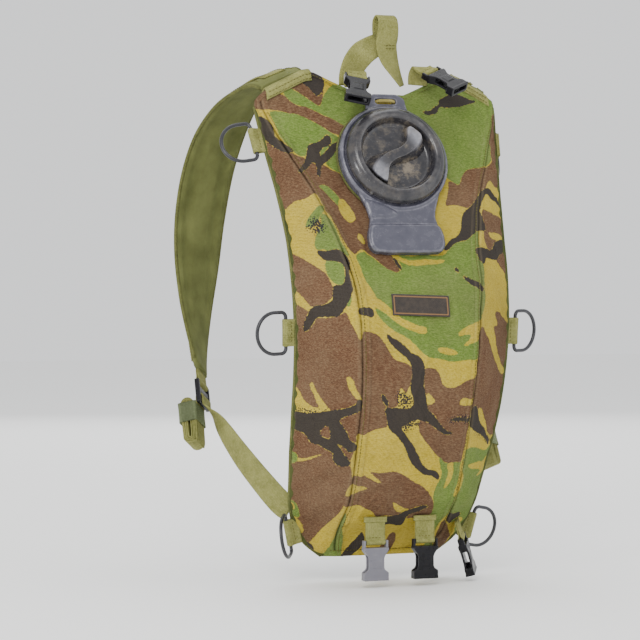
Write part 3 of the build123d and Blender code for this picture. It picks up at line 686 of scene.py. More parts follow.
def smooth_level(column):
    """One column of LEVELS at every height of FINE_Z, without its corners."""
    raw = np.interp(FINE_Z, LEVELS[:, 0], LEVELS[:, column])
    padded = np.pad(raw, BLUR_REACH, mode="reflect", reflect_type="odd")
    return np.convolve(padded, BLUR / BLUR.sum(), "valid")


SMOOTH = [smooth_level(column) for column in range(1, 6)]


def level(z):
    """Back half width, seam half width, depth, front crown and back wrap at heights z."""
    return [np.interp(z, FINE_Z, values) for values in SMOOTH]


def top_z(x):
    """Height of the top edge at places x."""
    return np.interp(np.abs(x), [p[0] for p in TOP_EDGE], [p[1] for p in TOP_EDGE])


# the mesh rows over STRETCH_FROM are squeezed or stretched to meet the top edge
STRETCH_FROM, STRETCH_TO = 150.0, 240.0
TOP_GUESS, TOP_ROUNDS = 225.0, 25


def rows_to(tops):
    """Heights of the mesh rows in columns that end at the given tops."""
    z = np.linspace(BOTTOM, STRETCH_TO, int((STRETCH_TO - BOTTOM) / ROW_STEP))[:, None]
    share = (np.asarray(tops) - STRETCH_FROM) / (STRETCH_TO - STRETCH_FROM)
    return np.where(z < STRETCH_FROM, z, STRETCH_FROM + (z - STRETCH_FROM) * share)


def columns_up(half_width, count):
    """Row heights of columns spread evenly from edge to edge; half_width gives the reach at heights z."""
    tops = np.full(count, TOP_GUESS)
    for _ in range(TOP_ROUNDS):
        tops = top_z(half_width(tops))
    return rows_to(tops)


def front_grid(columns=125):
    """The front panel's outer surface, and the share across of each column."""
    u = np.linspace(-1, 1, columns)
    z = columns_up(lambda top: u * level(top)[1], columns)
    return np.stack([u * level(z)[1], front_y(u, z), z], axis=2), u


def gusset_grid(side, columns=50):
    """A gusset's outer surface from the front seam to the back edge, and the share of that way."""
    t = np.linspace(0, 1, columns)
    z = columns_up(lambda top: level(top)[1] + t * (level(top)[0] - level(top)[1]), columns)
    back, seam, depth, _, _ = level(z)
    return np.stack([side * (seam + t * (back - seam)), back_y(z) - depth * (1 - t), z], axis=2), t


def back_grid(columns=90):
    """The back panel's surface, and the share across of each column."""
    u = np.linspace(-1, 1, columns)
    z = columns_up(lambda top: u * level(top)[0], columns)
    return np.stack([u * level(z)[0], rear_y(u, z), z], axis=2), u


def front_y(u, z):
    """Depth of the crowned front at a share u of its half width."""
    _, _, depth, crown, _ = level(z)
    return back_y(z) - depth - crown * (1 - np.abs(u) ** 2.6)


def rear_y(u, z):
    """Depth of the hollow back at a share u of its half width."""
    return back_y(z) - level(z)[4] * (1 - np.abs(u) ** 2.2)


def bell(value, middle, half):
    """1 at the middle, falling to nothing a few halves away."""
    return np.exp(-((value - middle) / half) ** 2)


def rise(value, at, width):
    """A soft step from 0 to 1."""
    return 1 / (1 + np.exp(-np.clip((value - at) / width, -30, 30)))


# ---------------------------------------------------------------- printed pattern
# Outlines across and up the pack in mm, drawn and painted in this order over a sand ground
PATTERN = [
    ("green", [(12, 216), (22, 226), (34, 230), (48, 238), (70, 246), (100, 236), (124, 218), (122, 198),
        (114, 186), (108, 172), (104, 160), (98, 152), (84, 150), (74, 146), (68, 139), (62, 133),
        (54, 138), (46, 150), (30, 190), (14, 206)]),
    ("green", [(-112, 201), (-98, 200), (-88, 199), (-76, 192), (-66, 187), (-56, 181), (-48, 172),
        (-44, 150), (-42, 136), (-52, 142), (-62, 147), (-70, 152), (-80, 158), (-94, 160), (-101, 167),
        (-107, 180), (-111, 192)]),
    ("green", [(-64, 209), (-54, 226), (-36, 226), (-14, 221), (-16, 200), (-34, 190), (-44, 187),
        (-50, 190), (-58, 196), (-66, 200)]),
    ("green", [(-57, 64), (-48, 68), (-38, 64), (-28, 56), (-18, 50), (-12, 55), (-14, 66), (0, 66),
        (20, 66), (36, 68), (40, 73), (48, 77), (58, 84), (70, 91), (71, 76), (68, 50), (63, 18), (60, 6),
        (50, 2), (36, -4), (34, -8), (48, -8), (50, -12), (42, -18), (52, -14), (58, -10), (57, -28),
        (44, -31), (28, -31), (12, -29), (2, -25), (-8, -18), (-20, -9), (-32, -1), (-42, 8), (-47, 17),
        (-45, 24), (-50, 40), (-54, 52)]),
    ("brown", [(-126, 216), (-112, 226), (-104, 219), (-97, 216), (-88, 209), (-78, 205), (-66, 199),
        (-58, 196), (-50, 190), (-42, 184), (-46, 178), (-56, 181), (-66, 187), (-76, 192), (-88, 199),
        (-98, 200), (-112, 203), (-126, 206)]),
    ("brown", [(-96, 240), (-86, 246), (-70, 244), (-60, 230), (-62, 212), (-67, 207), (-76, 212),
        (-86, 220), (-94, 226), (-98, 232)]),
    ("green", [(-99, 225), (-93, 226), (-84, 220), (-74, 212), (-66, 207), (-60, 204), (-60, 198),
        (-66, 199), (-78, 205), (-88, 209), (-97, 217)]),
    ("brown", [(-116, 172), (-104, 162), (-94, 159), (-84, 157), (-74, 151), (-62, 146), (-52, 141),
        (-44, 131), (-32, 116), (-26, 98), (-26, 78), (-24, 68), (-16, 64), (-12, 55), (-18, 50),
        (-28, 56), (-38, 65), (-48, 70), (-57, 67), (-62, 73), (-68, 86), (-73, 100), (-77, 110),
        (-80, 118), (-84, 124), (-90, 119), (-98, 115), (-112, 111)]),
    ("green", [(-79, 130), (-71, 130), (-64, 125), (-60, 118), (-62, 112), (-68, 118), (-74, 124)]),
    ("sand", [(-61, 118), (-57, 119), (-52, 113), (-48, 104), (-49, 98), (-55, 96), (-59, 101),
        (-62, 110)]),
    ("sand", [(-50, 84), (-46, 84), (-42, 78), (-44, 75), (-49, 79)]),
    ("green", [(-80, 112), (-76, 110), (-82, 100), (-88, 93), (-94, 92), (-92, 98), (-86, 106)]),
    ("green", [(-80, 103), (-75, 101), (-71, 88), (-66, 75), (-64, 66), (-70, 60), (-80, 70), (-87, 72),
        (-86, 84), (-82, 95)]),
    ("green", [(-82, 60), (-70, 60), (-68, 46), (-68, 34), (-71, 22), (-67, 20), (-66, 40), (-69, 38),
        (-76, 39), (-82, 50)]),
    ("brown", [(-110, 68), (-104, 65), (-96, 60), (-88, 54), (-82, 48), (-78, 38), (-79, 28), (-84, 22),
        (-92, 19), (-97, 21), (-101, 27), (-110, 40)]),
    ("brown", [(-112, 14), (-99, 16), (-90, 10), (-76, 9), (-69, 13), (-65, 2), (-60, -11), (-58, -3),
        (-50, -5), (-43, -10), (-36, -18), (-28, -28), (-20, -32), (-12, -38), (-11, -50), (-14, -58),
        (-18, -70), (-28, -74), (-28, -88), (-40, -94), (-50, -98), (-56, -98), (-57, -120), (-56, -140),
        (-57, -165), (-62, -180), (-70, -200), (-76, -208), (-86, -196), (-94, -178), (-100, -160),
        (-108, -120), (-112, -60)]),
    ("sand", [(-108, -55), (-101, -58), (-97, -66), (-91, -71), (-86, -72), (-89, -61), (-93, -51),
        (-91, -50), (-85, -62), (-80, -72), (-77, -77), (-84, -79), (-94, -79), (-108, -81)]),
    ("sand", [(-68, -45), (-64, -46), (-60, -54), (-57, -60), (-56, -66), (-60, -63), (-65, -54)]),
    ("sand", [(-98, -122), (-90, -121), (-82, -118), (-78, -118), (-86, -122), (-94, -125)]),
    ("green", [(-104, -117), (-96, -118), (-95, -126), (-104, -128)]),
    ("green", [(-97, -164), (-92, -163), (-88, -170), (-86, -178), (-91, -178), (-94, -172)]),
    ("sand", [(-102, -158), (-94, -164), (-91, -170), (-95, -172), (-102, -168)]),
    ("sand", [(-100, -178), (-88, -180), (-82, -186), (-79, -194), (-84, -199), (-90, -196), (-97, -188)]),
    ("black", [(-96, -188), (-88, -197), (-80, -205), (-71, -206), (-67, -212), (-74, -222), (-90, -218)]),
    ("green", [(-55, -176), (-52, -178), (-50, -190), (-46, -200), (-44, -212), (-40, -224), (-58, -224),
        (-56, -208), (-54, -195)]),
    ("brown", [(-56, -138), (-48, -138), (-42, -134), (-32, -133), (-20, -133), (-8, -137), (4, -144),
        (14, -150), (24, -157), (30, -165), (32, -174), (26, -182), (10, -182), (-4, -178), (-16, -178),
        (-24, -178), (-30, -173), (-44, -167), (-57, -165)]),
    ("sand", [(-56, -145), (-50, -147), (-41, -149), (-48, -153), (-56, -156)]),
    ("sand", [(-48, -132), (-40, -135), (-30, -142), (-38, -141), (-46, -137)]),
    ("sand", [(-12, -165), (-2, -168), (6, -172), (-2, -174), (-9, -171)]),
    ("sand", [(-48, 26), (-38, 22), (-28, 14), (-18, 6), (-8, 2), (0, 1), (1, -4), (-8, -5), (-18, -2),
        (-28, 6), (-38, 13), (-47, 18)]),
    ("sand", [(-16, 66), (-4, 62.5), (12, 62), (30, 63), (31, 60), (14, 57), (0, 57), (-11, 60)]),
    ("sand", [(13, -20), (22, -19), (30, -20), (34, -24), (24, -25), (16, -24)]),
    ("sand", [(33, -5), (42, -1), (52, 3), (61, 7), (61, -4), (56, -12), (50, -14), (44, -18), (40, -17),
        (46, -12), (46, -7), (38, -7)]),
    ("brown", [(46, 113), (50, 128), (54, 137), (62, 133), (68, 140), (74, 146), (84, 150), (100, 152),
        (106, 165), (112, 190), (117, 204), (128, 200), (124, 160), (116, 136), (106, 131), (99, 137),
        (93, 134), (90, 128), (84, 120), (78, 112), (68, 111), (62, 113), (54, 114)]),
    ("brown", [(82, 109), (90, 108), (98, 104), (112, 98), (112, 82), (98, 86), (90, 88), (84, 86),
        (88, 82), (96, 80), (92, 73), (80, 71), (77, 88)]),
    ("brown", [(88, 62), (98, 68), (112, 66), (112, 48), (100, 50), (92, 58)]),
    ("sand", [(82, 88), (92, 87), (103, 83), (103, 79), (94, 81), (87, 84)]),
    ("brown", [(79, 11), (84, 14), (92, 9), (100, 4), (112, -6), (112, -40), (96, -37), (86, -24),
        (80, -14), (76, -2), (82, 2)]),
    ("brown", [(-1, -37), (6, -37), (12, -40), (16, -46), (20, -53), (27, -55), (36, -54), (46, -50),
        (54, -45), (57, -30), (58, -6), (61, 1), (66, -7), (74, -20), (84, -34), (98, -46), (112, -44),
        (110, -70), (108, -104), (96, -104), (86, -100), (74, -84), (66, -76), (58, -80), (54, -92),
        (51, -100), (50, -126), (42, -127), (34, -126), (28, -122), (18, -116), (8, -106), (2, -96),
        (0, -86), (4, -74), (3, -60), (0, -48)]),
    ("sand", [(38, -69), (42, -66), (50, -67), (55, -65), (54, -71), (46, -73), (39, -72)]),
    ("sand", [(68, -85), (74, -92), (80, -99), (86, -105), (85, -99), (78, -91), (72, -86)]),
    ("sand", [(6, -60), (10, -64), (13, -69), (7, -71), (4, -66)]),
    ("sand", [(-21, -56), (-16, -60), (-11, -64), (-10, -71), (-18, -75), (-23, -70)]),
    ("green", [(26, -120), (34, -126), (48, -127), (54, -126), (54, -160), (52, -172), (48, -185),
        (46, -200), (50, -212), (46, -224), (38, -222), (40, -206), (34, -196), (30, -184), (31, -172),
        (28, -160), (27, -148), (30, -136)]),
    ("sand", [(36, -128), (42, -128), (42, -140), (40, -150), (37, -152), (36, -145), (37, -136)]),
    ("sand", [(50, -128), (55, -128), (55, -152), (52, -160), (49, -158), (50, -145)]),
    ("green", [(55, -114), (80, -117), (108, -116), (108, -140), (98, -170), (90, -190), (80, -206),
        (72, -198), (64, -188), (54, -184), (51, -178), (54, -166), (56, -150)]),
    ("sand", [(62, -129), (76, -128), (90, -128), (104, -125), (98, -134), (84, -141), (77, -142),
        (78, -136), (66, -134)]),
    ("sand", [(60, -188), (66, -185), (74, -184), (80, -188), (76, -193), (68, -193)]),
    ("brown", [(50, -186), (56, -188), (62, -196), (67, -206), (60, -216), (52, -214), (49, -200)]),
    ("brown", [(0, -196), (6, -198), (8, -210), (2, -222), (-8, -222), (-4, -208)]),
    ("black", [(-88, 244), (-66, 244), (-58, 232), (-62, 221), (-67, 217), (-73, 223), (-82, 232)]),
    ("black", [(-121, 198), (-113, 190), (-109, 178), (-103, 169), (-97, 163), (-100, 160), (-107, 163),
        (-113, 170), (-121, 184)]),
    ("black", [(-62, 180), (-58, 176), (-60, 171), (-67, 167), (-72, 162), (-72, 158), (-60, 170),
        (-52, 173), (-50, 169), (-58, 163), (-66, 154), (-72, 148), (-74, 139), (-77, 140), (-77, 148),
        (-81, 152), (-86, 147), (-92, 143), (-94, 145), (-89, 152), (-85, 162), (-81, 169), (-73, 171),
        (-67, 175)]),
    ("black", [(-87, 70), (-80, 69), (-70, 70), (-66, 62), (-66, 50), (-64, 38), (-66, 30), (-69, 22),
        (-72, 12), (-76, 9), (-88, 10), (-92, 4), (-98, -4), (-101, -3), (-99, 4), (-96, 13), (-92, 20),
        (-86, 21), (-80, 24), (-79, 30), (-77, 37), (-71, 38), (-69, 44), (-70, 56), (-75, 59),
        (-83, 61)]),
    ("black", [(-61, 18), (-56, 19), (-50, 17), (-47, 12), (-49, 9), (-54, 11), (-60, 13)]),
    ("black", [(-38, -62), (-35, -62), (-32, -68), (-33, -72), (-37, -68)]),
    ("black", [(-18, 64), (-14, 60), (-12, 52), (-16, 55)]),
    ("black", [(40, 54), (43, 53), (43, 49), (40, 51)]),
    ("black", [(46, 47), (52, 46), (60, 42), (65, 37), (63, 33), (56, 38), (50, 42)]),
    ("black", [(-37, -5), (-33, -8), (-27, -11), (-20, -17), (-12, -24), (-5, -26), (-1, -32), (0, -42),
        (1, -50), (4, -60), (5, -70), (7, -76), (14, -82), (20, -88), (28, -94), (35, -97), (35, -99),
        (26, -98), (16, -93), (8, -87), (0, -84), (-6, -85), (-12, -89), (-16, -93), (-12, -99),
        (-6, -106), (0, -113), (6, -121), (10, -128), (16, -133), (24, -134), (28, -139), (26, -142),
        (20, -139), (12, -138), (4, -131), (-4, -122), (-10, -114), (-16, -106), (-22, -98), (-28, -92),
        (-32, -82), (-35, -74), (-26, -73), (-16, -75), (-9, -71), (-9, -64), (-11, -58), (-12, -50),
        (-13, -38), (-16, -30), (-25, -21), (-32, -15), (-37, -10)]),
    ("black", [(-108, -80), (-94, -78), (-84, -77), (-74, -76), (-66, -73), (-60, -69), (-57, -64),
        (-55, -70), (-57, -76), (-64, -80), (-69, -85), (-66, -89), (-62, -96), (-61, -102), (-57, -106),
        (-56, -112), (-60, -114), (-64, -110), (-69, -107), (-64, -114), (-59, -120), (-57, -126),
        (-64, -127), (-69, -122), (-71, -116), (-77, -112), (-82, -108), (-88, -105), (-93, -98),
        (-100, -96), (-108, -92)]),
    ("brown", [(-78, -91), (-75, -93), (-74, -102), (-79, -101), (-81, -96)]),
    ("black", [(-25, -180), (-16, -179), (-4, -177), (4, -173), (14, -169), (25, -168), (17, -174),
        (8, -179), (8, -188), (2, -188), (-6, -187), (-12, -190), (-20, -195), (-25, -190)]),
    ("black", [(-29, -194), (-24, -204), (-28, -214), (-34, -222), (-42, -222), (-38, -210), (-33, -202)]),
    ("black", [(36, 73), (44, 80), (50, 84), (54, 90), (58, 100), (64, 108), (72, 113), (78, 120),
        (84, 128), (94, 131), (101, 122), (112, 116), (112, 110), (98, 117), (91, 125), (86, 122),
        (80, 108), (80, 90), (70, 88), (60, 82), (50, 78), (40, 71)]),
    ("black", [(66, 73), (76, 72), (84, 71), (88, 76), (92, 79), (112, 80), (112, 70), (104, 68), (96, 66),
        (88, 62), (80, 62), (74, 62), (70, 57), (66, 62)]),
    ("black", [(58, -72), (62, -76), (66, -84), (72, -92), (80, -98), (86, -104), (92, -108), (90, -112),
        (82, -107), (74, -103), (66, -99), (58, -94), (54, -90), (53, -84), (55, -76)]),
    ("black", [(30, -84), (38, -83), (46, -85), (54, -84), (54, -88), (46, -88), (38, -87)]),
    ("black", [(38, 204), (46, 204), (52, 209), (57, 212), (58, 217), (64, 220), (72, 222), (84, 221),
        (92, 218), (99, 215), (88, 213), (78, 209), (66, 209), (58, 210), (54, 204), (46, 200),
        (40, 201)]),
    ("black", [(53, -178), (60, -177), (68, -178), (71, -182), (62, -184), (58, -187), (53, -184)]),
]
STIPPLE = [
    [(-24, -58), (-12, -60), (-8, -68), (-16, -78), (-24, -74)],
    [(-16, -84), (-2, -84), (4, -88), (-6, -94), (-16, -98)],
    [(-104, -74), (-84, -73), (-76, -76), (-86, -80), (-104, -79)],
    [(64, -98), (80, -100), (98, -106), (98, -114), (80, -108), (66, -103)],
    [(-92, 98), (-84, 102), (-78, 92), (-84, 84), (-94, 90)],
    [(28, -82), (52, -82), (54, -90), (30, -88)],
]
FAR = 14.0


def closed_curve(points, steps=5):
    """A smooth closed outline through the points."""
    points = np.array(points, dtype=float)
    share = (np.arange(steps) / steps)[None, :, None]
    p0, p1, p2, p3 = [np.roll(points, k, axis=0)[:, None, :] for k in (1, 0, -1, -2)]
    curve = 0.5 * (2 * p1 + (p2 - p0) * share + (2 * p0 - 5 * p1 + 4 * p2 - p3) * share ** 2
                   + (3 * p1 - p0 - 3 * p2 + p3) * share ** 3)
    return curve.reshape(-1, 2)


def inside_by(outline, spots):
    """How far each spot is inside the outline, below 0 outside, no more than FAR either way."""
    result = np.full(len(spots), -FAR)
    low, high = outline.min(axis=0) - FAR, outline.max(axis=0) + FAR
    near = np.flatnonzero(np.all((spots > low) & (spots < high), axis=1))
    if not len(near):
        return result
    p = spots[near][:, None, :]
    a, b = outline[None, :, :], np.roll(outline, -1, axis=0)[None, :, :]
    along = np.clip(((p - a) * (b - a)).sum(2) / np.maximum(((b - a) ** 2).sum(2), 1e-9), 0, 1)
    distance = np.sqrt((((a + along[..., None] * (b - a)) - p) ** 2).sum(2)).min(1)
    crosses = (a[..., 1] > p[..., 1]) != (b[..., 1] > p[..., 1])
    run = np.where(np.abs(b[..., 1] - a[..., 1]) < 1e-9, 1e-9, b[..., 1] - a[..., 1])
    left = p[..., 0] < (b[..., 0] - a[..., 0]) * (p[..., 1] - a[..., 1]) / run + a[..., 0]
    inside = (crosses & left).sum(1) % 2 == 1
    result[near] = np.clip(np.where(inside, distance, -distance), -FAR, FAR)
    return result


def printed_fields(grid):
    """Signed distances of the print's colours at each point of a panel."""
    spots = grid[..., [0, 2]].reshape(-1, 2)
    spots = spots + 0.8 * np.stack([np.sin(spots[:, 1] / 5.3), np.cos(spots[:, 0] / 4.7)], axis=1)
    fields = {name: np.full(len(spots), -FAR) for name in ("sand", "green", "brown", "black")}
    fields["sand"] += 2 * FAR
    for name, points in PATTERN:
        amount = inside_by(closed_curve(points), spots)
        for other, so_far in fields.items():
            fields[other] = np.maximum(so_far, amount) if other == name else np.minimum(so_far, -amount)
    stipple = np.full(len(spots), -FAR)
    for points in STIPPLE:
        stipple = np.maximum(stipple, inside_by(closed_curve(points), spots))
    fields["stipple"] = stipple
    del fields["sand"]
    return {name: values.reshape(grid.shape[:-1]) for name, values in fields.items()}


# ---------------------------------------------------------------- carrier panels
PANEL_THICK = 2.0
PRESS_MARGIN, PRESS_SOFT = 0.5, 0.8
NECK_R, NECK_LOW, NECK_TOP = 41.0, 99.0, -10.0
PORT_HOLE_R = 46.5
COLLAR_R, COLLAR_BACK, PLATE_BACK = 54.0, -9.0, -6.0


def port_coordinates(points):
    """Across, up and out from the port's origin, in millimetres."""
    away = points - np.array(PORT)
    return away[..., 0], away @ np.array(PORT_UP), away @ np.array(PORT_AXIS)


def press_under_port(points):
    """Moves cloth that would come through the collar, neck or plate back behind it."""
    across, up, out = port_coordinates(points)
    reach = np.hypot(across, up)
    under_neck = np.minimum(NECK_R - np.abs(across), np.minimum(up + NECK_LOW, NECK_TOP - up))
    limit = np.where(reach < COLLAR_R + 4, COLLAR_BACK, PLATE_BACK) - PRESS_MARGIN
    share = rise(np.maximum(COLLAR_R + 3.0 - reach, under_neck), 0, PRESS_SOFT)
    push = np.minimum(limit - out, 0) * share
    return points + push[..., None] * np.array(PORT_AXIS)


def seam_relief(distance):
    """Height of the cloth beside a felled seam, by its distance from the seam."""
    groove = -1.1 * bell(distance, 0, 1.1)
    allowance = 0.75 * (rise(distance, 1.3, 0.35) - rise(distance, 7.0, 0.7))
    stitch_line = -0.35 * bell(distance, 3.2, 0.7)
    return groove + allowance + stitch_line


def pucker(distance, z, seed, reach=13.0):
    """Short wrinkles that a seam pulls into the cloth beside it."""
    waves = np.sin(z / 2.9 + 2.2 * np.sin(z / 17.0 + seed)) + 0.7 * np.sin(z / 1.9 + seed * 3)
    return 0.28 * waves * np.exp(-distance / reach) * (1 - np.exp(-distance / 1.5))


def creases(points, size, seed, width=0.13):
    """Soft folds that wander over slack cloth and fade in and out."""
    line = cloud(points * np.array([1.0, 1.0, 0.5]), size, seed)
    return np.exp(-np.abs(line) / width) * rise(cloud(points, size * 1.6, seed + 4.0), 0.0, 0.25)


def make_front():
    """The front panel; returns its surface and each point's distance from its side seam."""
    grid, u = front_grid()
    x, z = grid[..., 0], grid[..., 2]
    seam = level(z)[1]
    distance = (1 - np.abs(u)) * seam
    height = seam_relief(distance) + pucker(distance, z, np.sign(x))
    height += 2.2 * cloud(grid, 70.0) + 1.1 * cloud(grid, 26.0, 7.0)
    height += 1.9 * creases(grid, 34.0, 3.0) - 1.3 * creases(grid, 27.0, 8.0)
    # the cloth gathers between the lower buckles and beside the port
    gathers = np.sin(x / 2.7 + 1.5 * np.sin(x / 11.0 + z / 40.0))
    height += 0.9 * gathers * bell(z, -206.0, 11.0) * rise(50.0 - np.abs(x), 0, 3.0)
    slant = np.sin((z + 0.9 * np.abs(x)) / 4.2 + np.sin(x / 9.0))
    height += 0.5 * slant * bell(z, 120.0, 46.0) * bell(distance, 26.0, 16.0)
    fields = printed_fields(grid)
    grid = press_under_port(grid + normals_of(grid) * height[..., None])
    fields["worn"] = 0.6 * bell(distance, 2.0, 1.0) + 0.5 * bell(distance, 6.8, 0.8)
    # painted shade in the seam's groove and along the allowance's edge
    fields["seam_shade"] = bell(distance, 0, 1.3) + 0.35 * bell(distance, 7.9, 0.8)
    across, up, _ = port_coordinates(grid)
    piece = shell("front_canvas", grid, PANEL_THICK, CANVAS, fields,
                  hole=np.hypot(across, up) < PORT_HOLE_R)
    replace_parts(piece, "front_panel")
    return grid, distance


def make_gusset(side, word):
    """The panel between the front seam and the back edge on one side."""
    grid, t = gusset_grid(side)
    z = grid[..., 2]
    back, seam, depth = level(z)[:3]
    slant = np.hypot(back - seam, depth)
    outward = normals_of(grid)
    outward *= np.sign(outward[..., :1] * side)
    from_front, from_back = t * slant, (1 - t) * slant
    height = 3.2 * np.sin(pi * t) * np.minimum(slant / 45.0, 1.0)
    height += -1.1 * bell(from_front, 0, 1.1) + 0.5 * bell(from_front, 3.5, 2.0)
    height += pucker(from_front, z, side * 2.0) + pucker(from_back, z, side + 5.0, 18.0) * 1.6
    height += 1.5 * cloud(grid, 48.0, side * 3.0) * np.sin(pi * t)
    folds = 2.0 * creases(grid, 30.0, side * 5.0) - 1.4 * creases(grid, 24.0, side * 2.0)
    height += folds * np.sin(pi * t)
    height += 0.6 * cloud(grid * np.array([1, 1, 0.6]), 16.0, side * 9.0) * np.sin(pi * t)
    # folds that run down to the lower corner
    lean = (grid[..., 0] * side * 0.8 + z)
    low = rise(-z, 118, 9)
    height += 1.6 * low * np.sin(lean / 6.5 + 1.5 * np.sin(z / 21)) * np.sin(pi * t)
    fields = printed_fields(grid)
    fields["worn"] = bell(from_front, 2.0, 1.4) * 0.6 + bell(from_back, 1.0, 2.0)
    # painted shade in the front seam's groove
    fields["seam_shade"] = bell(from_front, 0, 1.3)
    grid = press_under_port(grid + outward * height[..., None])
    order = slice(None, None, side)
    piece = shell(f"{word}_gusset_canvas", grid[:, order], PANEL_THICK, CANVAS,
                  {key: values[:, order] for key, values in fields.items()})
    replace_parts(piece, f"{word}_gusset")


FRONT, FRONT_SEAM = make_front()
for side, word in SIDES:
    make_gusset(side, word)


# ---------------------------------------------------------------- fill port and cap
PORT_FRAME = (PORT, Vector((1, 0, 0)), PORT_UP, PORT_AXIS)
BOWL_RADIUS = 36.5


def inset_outline(outline, share):
    """The outline drawn in towards its middle."""
    middle = np.mean(outline, axis=0)
    return [tuple(middle + (np.array(p) - middle) * share) for p in outline]


def edge_wear(points, faces, sharp=0.10, spread=3):
    """How much each point of a moulding stands proud of its neighbours, from 0 to 1."""
    pairs = {tuple(sorted(pair)) for face in faces for pair in zip(face, face[1:] + face[:1])}
    edges = np.array(sorted(pairs))
    average = points
    for _ in range(spread):
        total, count = np.zeros_like(points), np.zeros((len(points), 1))
        for a, b in ((0, 1), (1, 0)):
            np.add.at(total, edges[:, a], average[edges[:, b]])
            np.add.at(count, edges[:, a], 1)
        average = total / np.maximum(count, 1)
    return np.clip(np.linalg.norm(points - average, axis=1) / sharp - 0.35, 0, 1)


def moulding(name, solid, frame, material, body, voxel, smoothing, replaced=(), with_painted_highlight=False):
    """A melted solid, placed by its frame, rubbed along its edges, with a painted highlight on the raised
    ends of its crest when asked.
    """
    points, faces = solid.melt(name, voxel, smoothing)
    x, y, out = points.T
    reach = np.hypot(x, y)
    fields = {"worn": edge_wear(points, faces),
              # stain weight in the bowl: real stains, heavier to the lower right as a painted lit side
              "bowl": rise(BOWL_RADIUS - reach, 0, 0.8) * (0.45 + 0.55 * rise(x - y, 6.0, 5.0)),
              # painted highlight on the raised ends of the grip's crest
              "painted_highlight": rise(out, 8.6, 0.5) * rise(reach, 22.0, 2.5) if with_painted_highlight else np.zeros(len(points))}
    piece = new_piece(name, placed(points, *frame), faces, material, body, fields)
    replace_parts(piece, *replaced)


COLLAR_PROFILE = [(41.0, -16.0), (44.5, -16.0), (44.6, -9.0), (52.4, -9.0), (54.0, -7.6), (54.0, -1.4),
                  (52.9, 0.5), (51.2, 1.1), (49.9, 0.2), (49.4, -0.6), (41.0, -0.6)]
NECK_HALF = [(48, -18), (40.5, -36), (33.5, -54), (32.6, -62), (34.5, -69), (37.5, -77), (37.5, -89),
             (33, -96)]
PLATE_HALF = [(34.6, -68.5), (37.6, -77), (37.8, -89.5), (33.6, -96), (17, -97.2)]
# smooth rest for a thumb, which swells out of the neck
THUMB_REST = [(-37, -42), (-33.5, -61.5), (-13, -61.5), (-3.5, -57.5), (-11, -51.5), (-25, -45)]
LUG_LOW, LUG_HIGH, LUG_POST = 56.4, 61.6, 15.0


def make_collar():
    """Collar, neck, grip plate and lug, moulded in one."""
    solid = Solid()
    solid.revolve(rounded(COLLAR_PROFILE, 0.9))
    neck = rounded(mirrored(NECK_HALF), 6.0)
    solid.prism(neck, -6.0, -1.6)
    solid.prism(inset_outline(neck, 0.965), -3.0, -0.7)
    for share in np.linspace(0, 1, 7):
        rest = inset_outline(THUMB_REST, 1.0 - 0.55 * share ** 1.6)
        solid.prism(rounded(rest, 4.0), -4.0, -0.9 + 2.3 * sin(share * pi / 2))
    plate = rounded(mirrored(PLATE_HALF), 5.0)
    solid.prism(plate, -6.0, 0.8)
    solid.prism(inset_outline(plate, 0.955), 0.0, 2.2)
    for x in (-LUG_POST, LUG_POST):
        solid.prism([(x - 5.0, LUG_LOW - 1), (x + 5.0, LUG_LOW - 1), (x + 4.25, LUG_HIGH + 1),
                     (x - 4.25, LUG_HIGH + 1)], -6.0, -1.2)
    solid.prism([(-21, 47), (21, 47), (20, LUG_LOW), (-20, LUG_LOW)], -6.0, -1.0)
    solid.prism(rounded([(-18.8, LUG_HIGH), (18.8, LUG_HIGH), (16.8, 64.2), (11.5, 67.0), (-11.5, 67.0),
                         (-16.8, 64.2)], 2.5), -6.0, -1.2)
    moulding("port_moulding", solid, PORT_FRAME, PORT_PLASTIC, "root", 0.85, 4, ["port_collar"])


CAP_SKIN = [(0.0, -2.4), (36.3, -2.4), (37.4, -11.5), (40.7, -11.5), (40.7, 1.25), (48.4, 1.25),
            (49.0, 2.4), (49.0, 4.6), (48.1, 7.0), (46.2, 9.6), (43.4, 11.8), (40.4, 12.9), (37.8, 12.5),
            (36.1, 10.6), (35.2, 7.4), (34.6, 3.4), (32.6, 1.5), (28.0, 0.9), (0.0, 0.8)]
NOTCH_AT = radians(232)
GRIP_FOOT = [(33.0, 10.0), (23.5, -0.5), (10.5, -5.5), (-4.0, -8.5), (-12.5, -17.0), (-11.0, -32.0)]
GRIP_CREST = [(27.8, 19.0), (19.5, 6.0), (7.5, -2.2), (-2.0, -5.2), (-10.5, -11.5), (-15.0, -30.0)]


def make_cap():
    """The screw cap with its bowl, and the grip across it."""
    solid = Solid()
    solid.revolve(rounded(CAP_SKIN, 1.2, closed=False))
    inner, outer = [(cos(NOTCH_AT) * r, sin(NOTCH_AT) * r, 3.2) for r in (47.0, 50.2)]
    solid.rod(inner, outer, 1.6)
    moulding("cap_shell", solid, PORT_FRAME, CAP_PLASTIC, "cap", 0.8, 3, ["fill_cap"])
    # the grip's flanks slope from its flat crest down to the bowl's floor
    grip = Solid()
    for share in np.linspace(0, 1, 12):
        half = [tuple(np.array(foot) * (1 - share) + np.array(crest) * share)
                for foot, crest in zip(GRIP_FOOT, GRIP_CREST)]
        outline = rounded(half + [(-x, -y) for x, y in half], 5.0)
        grip.prism(outline, 0.0, 1.6 + 9.0 * share)
    moulding("cap_grip", grip, PORT_FRAME, CAP_PLASTIC, "cap", 0.5, 6, with_painted_highlight=True)


